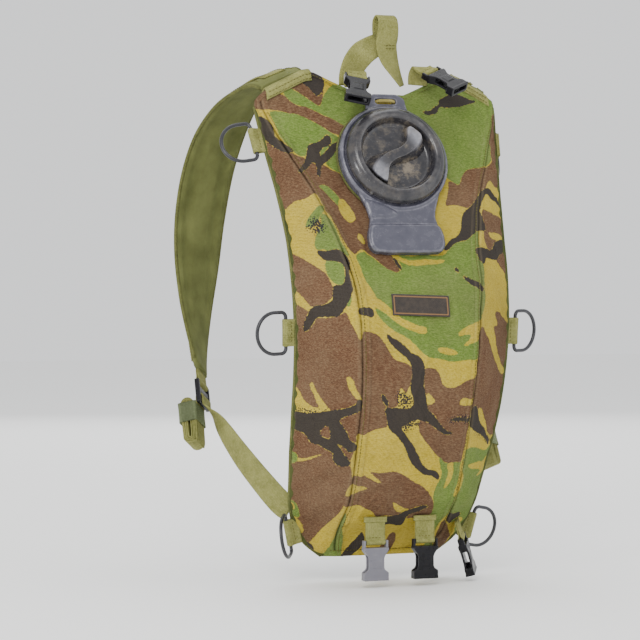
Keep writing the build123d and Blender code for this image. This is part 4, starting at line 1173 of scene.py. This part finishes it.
def tube(name, route, radius, material, sides=12, step=1.0):
    """A round cord or piping along a route, with fields that follow its strands."""
    rows = spline(route, step)
    directions = unit_rows(np.gradient(rows, axis=0))
    side = np.array([0.0, 0.0, 1.0] if abs(directions[0][2]) < 0.8 else [0.0, 1.0, 0.0])
    points, across = [], []
    for middle, ahead in zip(rows, directions):
        side = side - ahead * side.dot(ahead)
        side /= np.linalg.norm(side)
        for angle in 2 * pi * np.arange(sides) / sides:
            points.append(middle + radius * (cos(angle) * side + sin(angle) * np.cross(ahead, side)))
            across.append(angle * radius)
    fields = {"across": across, "along": np.repeat(run_of(rows), sides)}
    return new_piece(name, points, tube_faces(len(rows), sides), material, fields=fields)


def at_port(across, up, out):
    """A place in the port's frame, in the pack's."""
    return tuple(PORT + Vector((1, 0, 0)) * across + PORT_UP * up + PORT_AXIS * out)


def make_port_loop():
    """The sand loop sewn through the lug, and the bound edge of the hole that the collar sits in."""
    half = [(-9.2, 59, -9.5), (-9.0, 59, -4.0), (-6.5, 59, -0.9)]
    route = half + [(0, 59, -0.6)] + [(-x, up, out) for x, up, out in half[::-1]]
    piece = tube("port_cord", [at_port(*p) for p in route], 1.6, CORD)
    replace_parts(piece, "port_loop")
    turn = np.linspace(radians(112), radians(250), 60)
    tube("collar_binding", [at_port(54.6 * cos(a), 54.6 * sin(a), -7.8) for a in turn], 1.0, BINDING)


make_collar()
make_cap()
make_port_loop()


# ---------------------------------------------------------------- tabs, buckles and rings
def hinge_frame(joint_name, node, face_hint):
    """Origin, axis, reach and face of a hinged piece, with its face towards the hint."""
    origin, axis, reach, face = joint_frame(joint_name, node)
    if face.dot(Vector(face_hint)) < 0:
        axis, face = -axis, -face
    return origin, axis, reach, face


WEBBING = 25.0          # width of the broad webbing
LAYER_SHARE = 0.55      # how far a folded layer lies off the fold's middle, by its thickness
STITCH_ROWS = {}        # body: rows of stitches, each a path and its outward directions


def bar_loop(reach, bar, thick):
    """Side view of a tape folded round a bar, as (away, height) and outward direction."""
    radius, layer = bar + 0.12 + thick / 2, thick * LAYER_SHARE
    start = [((reach, layer), (0, 1)), ((reach * 0.55 + 1.5, layer * 1.05), (0, 1)),
             ((radius + 1.6, layer * 1.4), (0.15, 1))]
    angles = np.linspace(radians(68), radians(292), 9)
    turn = [((radius * cos(a), radius * sin(a)), (cos(a), sin(a))) for a in angles]
    back = [((d, -h), (n, -m)) for (d, h), (n, m) in start[::-1]]
    return start + turn + back


def add_row(body, path, outward):
    """Notes a row of stitches whose outward direction stays the same."""
    STITCH_ROWS.setdefault(body, []).append((path, [outward] * len(path)))


def cross_row(frame, away, height, width):
    """A row of stitches across a tape, at a distance away from its bar."""
    origin, axis, reach, face = frame
    middle, half = origin + reach * away + face * height, width / 2 - 1.8
    add_row("root", [tuple(middle + axis * share * half) for share in (-1, 1)], tuple(face))


def folded_tab(name, frame, reach, width, bar, thick, replaced, rows, extra=()):
    """Tape folded round a bar, its two layers sewn together; extra stations carry both layers on."""
    origin, _, away, face = frame
    profile = bar_loop(reach, bar, thick)
    stations = [(origin + away * d + face * h, away * n + face * m, width) for (d, h), (n, m) in profile]
    if extra:
        layer = thick * LAYER_SHARE
        upper = [(Vector(p) + Vector(n).normalized() * layer, Vector(n), width) for p, n in extra]
        lower = [(Vector(p) - Vector(n).normalized() * layer, -Vector(n), width) for p, n in extra]
        stations = upper[::-1] + stations + lower
    frames = strap_frames(stations, 1.2)
    end = frames[4][-1]
    piece = swept(name, frames, tape_section(thick), OLIVE,
                  hem=lambda run: 0.8 * bell(run, 0.6, 0.7) + 0.8 * bell(run, end - 0.6, 0.7))
    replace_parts(piece, replaced)
    for row in rows:
        cross_row(frame, row, thick * 1.05 + 0.1, width)


RING_BAR, RING_TAPE, BUCKLE_BAR, BUCKLE_TAPE = 1.7, 1.55, 1.6, 1.25
RINGS = [f"{height}_{word}" for height in ("upper", "middle", "lower") for _, word in SIDES]
for word in RINGS:
    tab = f"{word}_ring_tab"
    folded_tab(f"{word}_ring_webbing", hinge_frame(f"{word}_ring_swing", tab, (0, -1, 0)), 11.5, WEBBING,
               RING_BAR, RING_TAPE, tab, (5.0,))


def buckle_solid():
    """Female half of a side release buckle: x along its bar, y towards the mouth."""
    solid = Solid()
    body = rounded(mirrored([(12.25, 5.2), (12.25, 7.6), (8.6, 12.6), (7.8, 15.0), (7.8, 24.2), (9.0, 26.4),
                             (12.25, 28.2), (12.25, 36.0)]), 1.4)
    for low, high in ((2.2, 4.2), (-4.2, -2.2)):
        solid.prism(body, low, high)
    solid.prism(mirrored([(12.25, 5.2), (12.25, 7.6), (8.6, 12.6)]), -2.6, 2.6)
    for side in (-1, 1):
        solid.box(sorted((side * 10.1, side * 12.25)), (-1.6, 6.5), (-3.0, 3.0))
        solid.box(sorted((side * 9.9, side * 12.25)), (28.6, 36.0), (-3.0, 3.0))
        solid.box((-12.4, 12.4), (34.2, 36.0), sorted((side * 3.8, side * 4.5)))
        solid.box((-4.5, 4.5), (15.5, 24.0), sorted((side * 3.9, side * 4.6)))
    solid.rod((-12.2, 0, 0), (12.2, 0, 0), BUCKLE_BAR)
    return solid


# way the face looks, straight length of the tab, route of the tab beyond it
BUCKLES = {
    "lower_left_buckle": ((0, -1, 0), 21.0, ()),
    "lower_right_buckle": ((0, -1, 0), 21.0, ()),
    "top_left_buckle": ((0, -0.7, 0.7), 9.0, (
        ((-29, 40.5, 238), (-0.1, 0.5, 0.9)), ((-28.5, 43, 231), (0, 1, 0.2)),
        ((-28.5, 42, 226), (0, 1, 0)))),
    "top_right_buckle": ((0, -0.6, 0.8), 9.0, (
        ((39.5, 41.5, 246), (0, 0.5, 0.9)), ((38, 45, 239), (0, 1, 0.2)),
        ((37.5, 44.5, 230), (0, 1, 0)))),
    "side_buckle": ((0.85, -0.5, 0.2), 18.0, ()),
}
for node, (face_hint, length, route) in BUCKLES.items():
    origin, axis, reach, face = hinge_frame(f"{node}_swing", node, face_hint)
    plastic = GREY_PLASTIC if node == "lower_left_buckle" else BUCKLE_PLASTIC
    moulding(f"{node}_moulding", buckle_solid(), (origin, axis, reach, face), plastic, f"{node}_body", 0.5, 2,
             [node])
    folded_tab(f"{node}_webbing", (origin, -axis, -reach, face), length, 19.0, BUCKLE_BAR, BUCKLE_TAPE,
               f"{node}_tab", (4.2,) if route else (4.2, length - 1.6), route)
    if node.startswith("lower"):
        top = origin - reach * length + face * 0.4
        hem = [(top + axis * share * 11.0, face, 5.2) for share in np.linspace(-1, 1, 9)]
        tape(f"{node}_tab_hem", hem, 3.6)


# ---------------------------------------------------------------- adjusters and lower straps
LOCK_OUT, ROLL_AT, ROLL_OUT = (0.82, 0.55, -0.15), 38.0, 13.0
ROLL_HALF, ROLL_RADIUS, ROLL_PITCH, ROLL_TURNS = 16.4, 7.7, 1.72, 4
SLEEVE_AT, SLEEVE_LONG, SLEEVE_THICK, SLEEVE_WIDE, SLEEVE_DEEP = 30.0, 20.0, 1.3, 13.9, 9.9
LOWER_STRAP = [((133, 134, -98), (0.90, 0.10, 0.0), WEBBING, 22.5),
               ((123, 102, -124), (0.90, -0.35, 0.0), WEBBING, 9),
               ((111, 77, -147), (0.80, -0.55, 0.0), WEBBING, 0),
               ((98, 58, -167), (0.70, -0.70, 0.0), WEBBING, 0),
               ((90, 50, -174), (0.70, -0.70, 0.0), WEBBING, 0)]
# away from the lock's bar and out of its face, and the way the webbing faces
THREADED = [((25.0, -3.4), (0, -1)), ((19.8, -3.0), (0, -1)), ((15.5, -3.2), (0, -1)),
            ((12.9, -1.2), (-0.9, -0.5)), ((13.0, 1.4), (-0.9, 0.5)), ((15.6, 3.1), (0, 1)),
            ((20.5, 3.4), (0, 1)), ((25.5, 4.6), (-0.3, 1)), ((31.0, 5.6), (0, 1))]


def lock_solid():
    """Ladder lock: x along its bar, y down the strap."""
    solid = Solid()
    for side in (-1, 1):
        rail = [(side * 13.0, -1.6), (side * 16.0, -1.6), (side * 16.0, 23.0), (side * 13.0, 23.0)]
        solid.prism(rounded(rail[::side], 1.2), -2.4, 2.4)
    solid.box((-14, 14), (5.7, 11.0), (-1.6, 1.9))
    solid.box((-14, 14), (14.6, 17.7), (-2.0, 2.0))
    solid.box((-14, 14), (21.2, 23.0), (-1.6, 2.2))
    for y in (7.0, 8.6):
        solid.rod((-12.5, y, 1.9), (12.5, y, 1.9), 0.5, 8)
    solid.rod((-15, 0, 0), (15, 0, 0), BUCKLE_BAR)
    return solid


def rolled(name, frame, body):
    """The spare strap rolled flat, turn on turn."""
    origin, _, down, out = frame
    stations = []
    for angle in np.arange(-pi / 2, -pi / 2 + ROLL_TURNS * 2 * pi, pi / 7):
        turned = (angle + pi / 2) / (2 * pi)
        radius = ROLL_RADIUS - turned * ROLL_PITCH
        side = ROLL_HALF * (1 if cos(angle) > 1e-6 else -1)
        away = down * (ROLL_AT + side + radius * cos(angle))
        away += out * (ROLL_OUT + radius * sin(angle) + 0.25 * sin(turned * 9.0))
        stations.append((origin + away, down * cos(angle) + out * sin(angle), WEBBING))
    return tape(name, stations, 1.5, body, 2.2)


def keeper(name, frame, body, rows=13):
    """An elastic sleeve round the rolled strap, a little narrower at its middle."""
    origin, axis, down, out = frame
    wide, deep = SLEEVE_WIDE, SLEEVE_DEEP
    corners = rounded([(-wide, -deep), (wide, -deep), (wide, deep), (-wide, deep)], 3.4, 6)
    count = len(corners)
    points, across, along = [], [], []
    for shrink in (0.0, SLEEVE_THICK):
        for share in np.linspace(-0.5, 0.5, rows):
            less = shrink + 0.2 * (1 - (2 * share) ** 2)
            for k, (a, b) in enumerate(corners):
                place = origin + down * (SLEEVE_AT + share * SLEEVE_LONG) + axis * a * (wide - less) / wide
                points.append(place + out * (ROLL_OUT + b * (deep - less) / deep))
                across.append(share * SLEEVE_LONG)
                along.append(k * 4.0)
    outer = tube_faces(rows, count)[:-2]
    inner = [tuple(i + rows * count for i in face[::-1]) for face in outer]
    rims = []
    for k in range(count):
        first, second, last = k, (k + 1) % count, (rows - 1) * count
        rims.append((second, first, first + rows * count, second + rows * count))
        rims.append((last + first, last + second, last + second + rows * count, last + first + rows * count))
    return new_piece(name, points, outer + inner + rims, ELASTIC, body, {"across": across, "along": along})


for side, word in SIDES:
    body = f"{word}_adjuster"
    hint = (side * LOCK_OUT[0], *LOCK_OUT[1:])
    at_lock = hinge_frame(f"{word}_adjuster_tilt", f"{word}_strap_lock", hint)
    origin, axis, down, out = at_lock
    moulding(f"{word}_lock_moulding", lock_solid(), at_lock, BUCKLE_PLASTIC, body, 0.55, 2,
             [f"{word}_strap_lock"])
    folded_tab(f"{word}_lock_webbing", (origin, -axis, -down, out), 13.2, WEBBING, BUCKLE_BAR, BUCKLE_TAPE,
               f"{word}_lock_tab", (4.4, 10.5))
    threaded = [(origin + down * d + out * h, down * n + out * m, WEBBING) for (d, h), (n, m) in THREADED]
    tape(f"{word}_threaded_webbing", threaded, 1.5, body)
    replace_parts(rolled(f"{word}_rolled_tail", at_lock, body), f"{word}_strap_tail")
    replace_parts(keeper(f"{word}_keeper_sleeve", at_lock, body), f"{word}_tail_keeper")
    route = [(origin + down * 26.0 - out * 4.2, out, WEBBING)] + on_side(side, LOWER_STRAP)
    strap = tape(f"{word}_lower_webbing", route, 1.6, None, 2.0)
    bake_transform(strap)
    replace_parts(strap, f"{word}_lower_strap")


# ---------------------------------------------------------------- haul handle
# one strap: up from the left foot, round the hanging loop and down to the right foot
HANDLE = [((-29, 48.5, 228), (0, -1, 0), 25), ((-28.5, 50, 238), (0.1, -1, 0), 25),
          ((-25, 50.5, 249), (0.25, -0.95, 0.2), 25), ((-17, 51, 259), (0.4, -0.7, 0.5), 24.5),
          ((-8, 52, 265), (0.4, -0.75, 0.5), 23), ((1, 53.5, 270), (0.1, -1, 0.2), 20.5),
          ((5.5, 58, 276), (0, -1, 0.1), 19), ((7, 61.5, 284), (0, -1, 0), 19),
          ((7, 60.5, 292), (0, -0.8, -0.6), 19), ((7.2, 54, 296.3), (0, 0, -1), 19),
          ((7.4, 46.5, 292.5), (0, 0.8, -0.6), 19.5), ((7.4, 44.5, 284), (0, 1, 0), 20.5),
          ((7, 46, 275), (-0.1, 1, 0), 22.5), ((7.4, 49, 266), (-0.25, 0.95, 0), 24),
          ((10.5, 50, 255), (-0.45, 0.85, 0), 25), ((16.5, 49.5, 242), (-0.7, 0.7, 0), 23),
          ((23, 48, 229), (-0.85, 0.5, 0), 20)]
piece = tape("handle_strap", [(Vector(p), Vector(n), w) for p, n, w in HANDLE], 1.8, None)
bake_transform(piece)
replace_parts(piece, "haul_handle")
for height, depth in ((264.5, 48.0), (267.5, 47.2)):
    add_row("handle", [(-1, depth, height), (16, depth, height)], (0, -1, 0.1))


# ---------------------------------------------------------------- padding, filled by cloth simulation
SIMULATED_FRAMES = 14


def puff(piece, pinned, pressure, cap):
    """Fills a padded piece as a cloth bag held at its pinned points; no point moves further than cap mm."""
    mesh = piece.data
    rest = np.zeros(len(mesh.vertices) * 3)
    mesh.vertices.foreach_get("co", rest)
    group = piece.vertex_groups.new(name="held")
    for index in np.nonzero(pinned)[0]:
        group.add([int(index)], 1.0, "REPLACE")
    cloth_bag = piece.modifiers.new("filling", "CLOTH")
    settings = cloth_bag.settings
    settings.quality, settings.mass, settings.air_damping = 6, 0.05, 2.0
    settings.tension_stiffness = settings.compression_stiffness = 4.0
    settings.shear_stiffness, settings.bending_stiffness = 2.0, 0.02
    settings.use_pressure, settings.uniform_pressure_force = True, pressure
    settings.vertex_group_mass = "held"
    settings.effector_weights.gravity = 0.0
    cloth_bag.collision_settings.use_collision = False
    cloth_bag.point_cache.frame_start, cloth_bag.point_cache.frame_end = 1, SIMULATED_FRAMES
    scene = bpy.context.scene
    for moment in range(1, SIMULATED_FRAMES + 1):
        scene.frame_set(moment)
    filled = piece.evaluated_get(bpy.context.evaluated_depsgraph_get()).data
    moved = np.zeros(len(rest))
    filled.vertices.foreach_get("co", moved)
    step = (moved - rest).reshape(-1, 3) / MM
    length = np.linalg.norm(step, axis=1, keepdims=True)
    step *= np.minimum(1.0, cap / np.maximum(length, 1e-9))
    piece.modifiers.remove(cloth_bag)
    piece.vertex_groups.remove(group)
    mesh.vertices.foreach_set("co", (rest.reshape(-1, 3) + step * MM).ravel())
    mesh.update()
    scene.frame_set(1)


# ---------------------------------------------------------------- back panel, pad and edges
PAD_HALF, PAD_RISE = 52.0, 56.0
CHANNELS = (-28.0, 0.0, 28.0)
PAD_PRESSURE, STRAP_PRESSURE = 1500.0, 1500.0


def make_back():
    """The lining on the wearer's side."""
    grid, u = back_grid()
    x, z = grid[..., 0], grid[..., 2]
    from_edge = (1 - np.abs(u)) * level(z)[0]
    height = 0.9 * cloud(grid, 60.0, 3.0) + 0.4 * cloud(grid, 20.0, 5.0)
    height += 1.5 * pucker(from_edge, z, 4.0)
    beside_pad = np.maximum(np.abs(x) - PAD_HALF, np.abs(z) - PAD_RISE)
    height += np.where(beside_pad < 3, 0.0, 0.6 * bell(beside_pad, 9, 5))
    normal = normals_of(grid)
    normal *= np.sign(normal[..., 1:2])
    grid = grid + normal * height[..., None]
    piece = shell("back_lining", grid[:, ::-1], PANEL_THICK, LINING,
                  {"worn": bell(from_edge, 1.5, 1.5)[:, ::-1]})
    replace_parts(piece, "back_panel")


def pad_seam(x, z):
    """Distance from the nearest of the lines that quilt the pad."""
    return np.min([np.abs(z - line - 3.0 * np.cos(x / 33.0)) for line in CHANNELS], axis=0)


def pad_rim(x, z):
    """Distance from the pad's edge."""
    return np.minimum(PAD_HALF - np.abs(x), PAD_RISE - np.abs(z))


def pad_rest(x, z):
    """Depth of the back panel under the pad."""
    return rear_y(x / level(z)[0], z)


def make_pad(count=62):
    """The quilted back pad, filled by cloth simulation, and the piping round it."""
    u, v = np.meshgrid(np.linspace(-1, 1, count), np.linspace(-1, 1, count))
    corner = 1 - 0.05 * np.abs(u * v) ** 4
    x = u * PAD_HALF * (1 - 0.025 * (1 - v ** 2) * np.abs(u) ** 3) * corner
    z = v * PAD_RISE * (1 - 0.025 * (1 - u ** 2) * np.abs(v) ** 3) * corner
    base, rim, seam = pad_rest(x, z) + 0.9, pad_rim(x, z), pad_seam(x, z)
    crown = 1 - np.exp(-np.maximum(rim, 0) / 4.2)
    puffed = crown * (1 - 0.42 * np.exp(-seam / 3.2) * rise(rim, 7.0, 1.2))
    front = np.stack([x, base, z], axis=2)
    lift = puffed * (-2.2 - base) + 0.25 * cloud(front, 18.0, 2.0)
    rear = front + lift[..., None] * np.array([0.0, 1.0, 0.0])
    faces = grid_faces(count, count, flip=True) + grid_faces(count, count, count * count)
    edge = list(range(count)) + [r * count + count - 1 for r in range(1, count)]
    edge += [(count - 1) * count + c for c in range(count - 2, -1, -1)]
    edge += [r * count for r in range(count - 2, 0, -1)]
    faces += [(a, b, b + count * count, a + count * count) for a, b in zip(edge, edge[1:] + edge[:1])]
    piece = new_piece("mesh_pad", np.concatenate([rear.reshape(-1, 3), front.reshape(-1, 3)]), faces, MESH)
    held = ((rim < 3.0) | ((seam < 1.3) & (rim > 6.0))).ravel()
    puff(piece, np.concatenate([held, np.ones(count * count, dtype=bool)]), PAD_PRESSURE, 3.0)
    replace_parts(piece, "back_pad")
    corners = np.array([(-1, -1), (1, -1), (1, 1), (-1, 1), (-1, -1)]) * (PAD_HALF - 0.6, PAD_RISE - 0.6)
    share = np.arange(13)[:, None] / 13
    border = np.concatenate([a + (b - a) * share for a, b in zip(corners, corners[1:])] + [corners[:1]])
    x, z = border.T
    tube("pad_binding", np.stack([x, pad_rest(x, z) + 1.6, z], axis=1), 1.5, BINDING, step=4.0)


def face_y(x, z, rear):
    """Depth of the front or rear surface at a place on the carrier."""
    half, seam, depth = level(z)[:3]
    if rear:
        return rear_y(np.minimum(np.abs(x) / half, 1), z)
    slope = back_y(z) - depth * np.clip((half - np.abs(x)) / np.maximum(half - seam, 1e-6), 0, 1)
    return np.where(np.abs(x) < seam, front_y(np.minimum(np.abs(x) / seam, 1), z), slope)


def folded_edge(name, x, z_edge, drop, proud, thick, material, down=-1.0, steps=7):
    """Cloth or tape that wraps an open edge of the carrier from its front surface to its rear one."""
    face, bend = [], []
    for share in (1.0, 0.5, 0.12):
        z = z_edge + down * drop * share
        face.append((x, face_y(x, z, False) - proud, z))
        bend.insert(0, (x, face_y(x, z, True) + proud, z))
    front, back = face_y(x, z_edge, False), face_y(x, z_edge, True)
    for share in np.arange(1, steps) / steps:
        lift = proud * (0.35 + 0.9 * sin(pi * share))
        face.append((x, front + (back - front) * share, z_edge - down * lift))
    rows = np.stack([np.stack(np.broadcast_arrays(*row), axis=-1) for row in face + bend])
    fields = {"across": np.repeat(np.linspace(-12.5, 12.5, len(rows))[:, None], len(x), axis=1),
              "along": np.repeat(x[None, :], len(rows), axis=0)}
    if material == CANVAS:
        fields.update(printed_fields(rows))
        # the folded edges get no painted seam shade
        fields["seam_shade"] = np.zeros(rows.shape[:2])
    order = slice(None, None, 1 if normals_of(rows)[0, 0, 1] < 0 else -1)
    return shell(name, rows[:, order], thick, material, {k: v[:, order] for k, v in fields.items()})


def make_edges():
    """The closed edges, the bands over the top corners and the piping down the sides."""
    x = np.linspace(-123, 123, 150)
    folded_edge("top_closure", x, top_z(x), 4.0, 0.7, 1.2, CANVAS)
    low = np.linspace(-56, 56, 70)
    folded_edge("bottom_closure", low, np.full(70, BOTTOM), 5.0, 0.8, 1.2, CANVAS, down=1.0)
    for side, word in SIDES:
        x = side * np.linspace(70, 114, 36)
        piece = folded_edge(f"{word}_band_webbing", x, top_z(x) + 1.0, 9.0, 2.0, 1.5, OLIVE)
        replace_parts(piece, f"{word}_top_band")
        for down in (2.6, 7.2):
            path = [(a, face_y(a, top_z(a) - down, False) - 2.6, top_z(a) - down + 0.8) for a in x]
            add_row("root", path, (0, -1, 0.1))
        z = np.linspace(206, BOTTOM, 70)
        edge = np.stack([side * (level(z)[0] - 0.3), back_y(z) + 0.2, z], axis=1)
        tube(f"{word}_edge_binding", edge, 1.9, BINDING, step=4.0)


# ---------------------------------------------------------------- shoulder straps
STRAP = [((93, 64.0, 232), (0.3, -0.5, 0.8), 46, 0), ((97, 84, 237), (0.35, -0.1, 0.95), 52, 0),
         ((104, 115, 231), (0.4, 0.3, 0.85), 56, 0), ((112, 148, 214), (0.35, 0.6, 0.72), 58, 0),
         ((119, 178, 187), (0.3, 0.8, 0.5), 60, 0), ((125, 200, 150), (0.3, 0.92, 0.25), 60, 0),
         ((130, 210, 105), (0.35, 0.93, 0.05), 60, 0), ((133, 211, 60), (0.45, 0.89, 0.0), 58, 3),
         ((137, 202, 18), (0.6, 0.8, 0.0), 52, 12), ((140, 187, -20), (0.75, 0.65, -0.05), 44, 24),
         ((142, 170, -46), (0.82, 0.55, -0.1), 34, 30)]


def padded_section(columns=34):
    """Edge to edge over the outer face and back along the wearer's face, of a foam strap."""
    share = np.cos(np.linspace(pi, 0, columns))
    full = 3.2 * (1 - np.abs(share) ** 5) ** 0.5
    height = np.maximum(full, 1.4 * (1 - np.abs(share) ** 60))
    outer, inner = np.stack([share, height], axis=1), np.stack([share, -height], axis=1)
    return np.concatenate([outer, inner[::-1][1:-1]])


def make_shoulder_strap(side, word):
    """A padded strap with piping along its edges and webbing sewn down its middle."""
    frames = strap_frames(on_side(side, STRAP), 2.4)
    middle, across, outward, width, _ = frames
    section = padded_section()
    piece = swept(f"{word}_shoulder_pad", frames, section, STRAP_CANVAS)
    # sewn down along both edges and under the webbing, and held at both ends
    off_middle = width[:, None] / 2 * np.abs(section[None, :, 0])
    held = (width[:, None] / 2 - off_middle < 6.5) | (off_middle < 12.0)
    held[:2], held[-2:] = True, True
    puff(piece, held.ravel(), STRAP_PRESSURE, 2.2)
    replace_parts(piece, f"{word}_shoulder_strap")
    part = slice(6, len(middle) - 2)
    for sign, edge_word in ((-1, "inner"), (1, "outer")):
        edge = middle + across * (sign * (width / 2 - 0.6))[:, None]
        tube(f"{word}_strap_binding_{edge_word}", edge[1:-1:2], 1.9, BINDING, step=4.0)
        row = middle + across * (sign * (width / 2 - 6.0))[:, None] + outward * 2.9
        STITCH_ROWS.setdefault("root", []).append((row[part], outward[part]))
    places = zip(middle[part][::5], outward[part][::5])
    sewn_on = [(Vector(place + out * 4.0), Vector(out), WEBBING) for place, out in places]
    tape(f"{word}_strap_run", sewn_on, 1.5, step=2.4)
    for sign in (-1, 1):
        row = middle + across * sign * 10.4 + outward * 4.85
        STITCH_ROWS["root"].append((row[part], outward[part]))


# ---------------------------------------------------------------- label and sewing
LABEL_W, LABEL_H, LABEL_TILT, LABEL_AT = 56.0, 19.5, radians(2.0), (-3.0, 20.0)
SEAM_INSET = 3.2


def make_label(columns=80, rows=30):
    """The woven label, left blank."""
    u, v = np.meshgrid(np.linspace(-1, 1, columns), np.linspace(-1, 1, rows))
    a, b = u * LABEL_W / 2, v * LABEL_H / 2
    x = LABEL_AT[0] + a * cos(LABEL_TILT) + b * sin(LABEL_TILT)
    z = LABEL_AT[1] - a * sin(LABEL_TILT) + b * cos(LABEL_TILT)
    rim = np.minimum(LABEL_W / 2 - np.abs(a), LABEL_H / 2 - np.abs(b))
    raised = 0.45 * (bell(rim, 2.0, 0.55) + 0.6 * bell(rim, 0.5, 0.5))
    y = face_y(x, z, False) - 1.5 - raised + 0.15 * np.sin(a / 6.0)
    piece = shell("label_weave", np.stack([x, y, z], axis=2), 1.0, LABEL,
                  {"border": bell(rim, 2.0, 0.7), "across": a, "along": b})
    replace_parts(piece, "label_patch")


def front_row(x, z, proud):
    """A row of stitches across the front through places x at heights z."""
    path = np.stack([x, face_y(x, z, False) - proud, z], axis=1)
    STITCH_ROWS["root"].append((path, np.tile((0, -1, 0), (len(x), 1))))


def sew_panels():
    """Stitches beside the front's seams and along its open edges, then all rows noted so far."""
    z = FRONT[:, FRONT.shape[1] // 2, 2]
    rows = np.nonzero((z > BOTTOM + 3) & (z < 204))[0][::2]
    normal = normals_of(FRONT)
    normal *= -np.sign(normal[..., 1:2])
    for side, _ in SIDES:
        path, outward = [], []
        for r in rows:
            half = np.nonzero(FRONT[r, :, 0] * side > 0)[0]
            half = half[np.argsort(FRONT_SEAM[r, half])]
            path.append(between(SEAM_INSET, FRONT_SEAM[r, half], FRONT[r, half]))
            outward.append(between(SEAM_INSET, FRONT_SEAM[r, half], normal[r, half]))
        path, outward = np.array(path), np.array(outward)
        STITCH_ROWS["root"].append((path + outward * 0.25, outward))
    low, high = np.linspace(-54, 54, 60), np.linspace(-69, 69, 80)
    front_row(low, np.full(len(low), BOTTOM + 5.7), 1.9)
    front_row(high, top_z(high) - 3.0, 1.2)
    for body, found in STITCH_ROWS.items():
        stitches(f"{body}_stitching", found, body)


make_back()
make_pad()
make_edges()
for side, word in SIDES:
    make_shoulder_strap(side, word)
make_label()
sew_panels()


# ---------------------------------------------------------------- pieces that keep their CAD shape
def finish_node(node, material):
    """A CAD piece keeps its mesh and gets a finished material."""
    mesh = frame["nodes"][node].data
    mesh.materials.clear()
    mesh.materials.append(material)


for word in RINGS:
    finish_node(f"{word}_d_ring", RING_WIRE)
finish_node("cap_gasket", RUBBER)
finish_node("reservoir", FILM)
finish_node("tube_outlet", CLEAR_BLUE)


# ---------------------------------------------------------------- floor, light and camera
def area_light(name, place, aim, size, power, colour=(1, 1, 1)):
    """A square light at place, in metres, turned to its aim."""
    light = bpy.data.lights.new(name, "AREA")
    light.energy, light.size, light.color = power, size, colour
    lamp = bpy.data.objects.new(name, light)
    bpy.context.scene.collection.objects.link(lamp)
    lamp.location = place
    lamp.rotation_euler = (Vector(aim) - Vector(place)).to_track_quat("-Z", "Y").to_euler()


def make_floor():
    """A pale floor just under the pack."""
    mesh = bpy.data.meshes.new("floor")
    half, height = 6.0, CAD_BOX[0][2] - 0.004
    mesh.from_pydata([(-half, -half, height), (half, -half, height), (half, half, height),
                      (-half, half, height)], [], [(0, 1, 2, 3)])
    floor = bpy.data.objects.new("floor", mesh)
    bpy.context.scene.collection.objects.link(floor)
    mesh.materials.append(Shader("floor", roughness=0.9, specular=0.1).finish(rgb(250, 250, 249)))


make_floor()
world = bpy.data.worlds.new("studio")
world.use_nodes = True
background = world.node_tree.nodes["Background"].inputs
background["Color"].default_value, background["Strength"].default_value = (0.98, 0.99, 1.0, 1.0), 1.15
bpy.context.scene.world = world
area_light("key", (-1.3, -2.2, 1.7), (0, 0, 0), 1.0, 40, (1, 0.98, 0.95))
area_light("strip", (-2.4, -1.2, 0.5), (0, 0, 0.1), 0.4, 18)
area_light("fill", (1.9, -1.6, 0.6), (0, 0, 0), 1.8, 10, (0.95, 0.98, 1))
area_light("top", (0.1, 0.4, 2.2), (0, 0, 0), 1.5, 16)
area_light("back", (0.6, 2.2, 1.0), (0, 0, 0), 1.8, 16)

CAMERA_AZIMUTH, CAMERA_ELEVATION, CAMERA_DISTANCE = radians(-20), radians(1.0), 2.2
CAMERA_AIM = Vector((-0.0524, 0.071, 0.0048))
camera = bpy.data.objects.new("camera", bpy.data.cameras.new("camera"))
bpy.context.scene.collection.objects.link(camera)
away = Vector((sin(CAMERA_AZIMUTH) * cos(CAMERA_ELEVATION), -cos(CAMERA_AZIMUTH) * cos(CAMERA_ELEVATION),
               sin(CAMERA_ELEVATION)))
camera.location = CAMERA_AIM + away * CAMERA_DISTANCE
camera.rotation_euler = (-away).to_track_quat("-Z", "Y").to_euler()
camera.data.lens = 129.0
camera.data.sensor_width = 36.0
bpy.context.scene.camera = camera
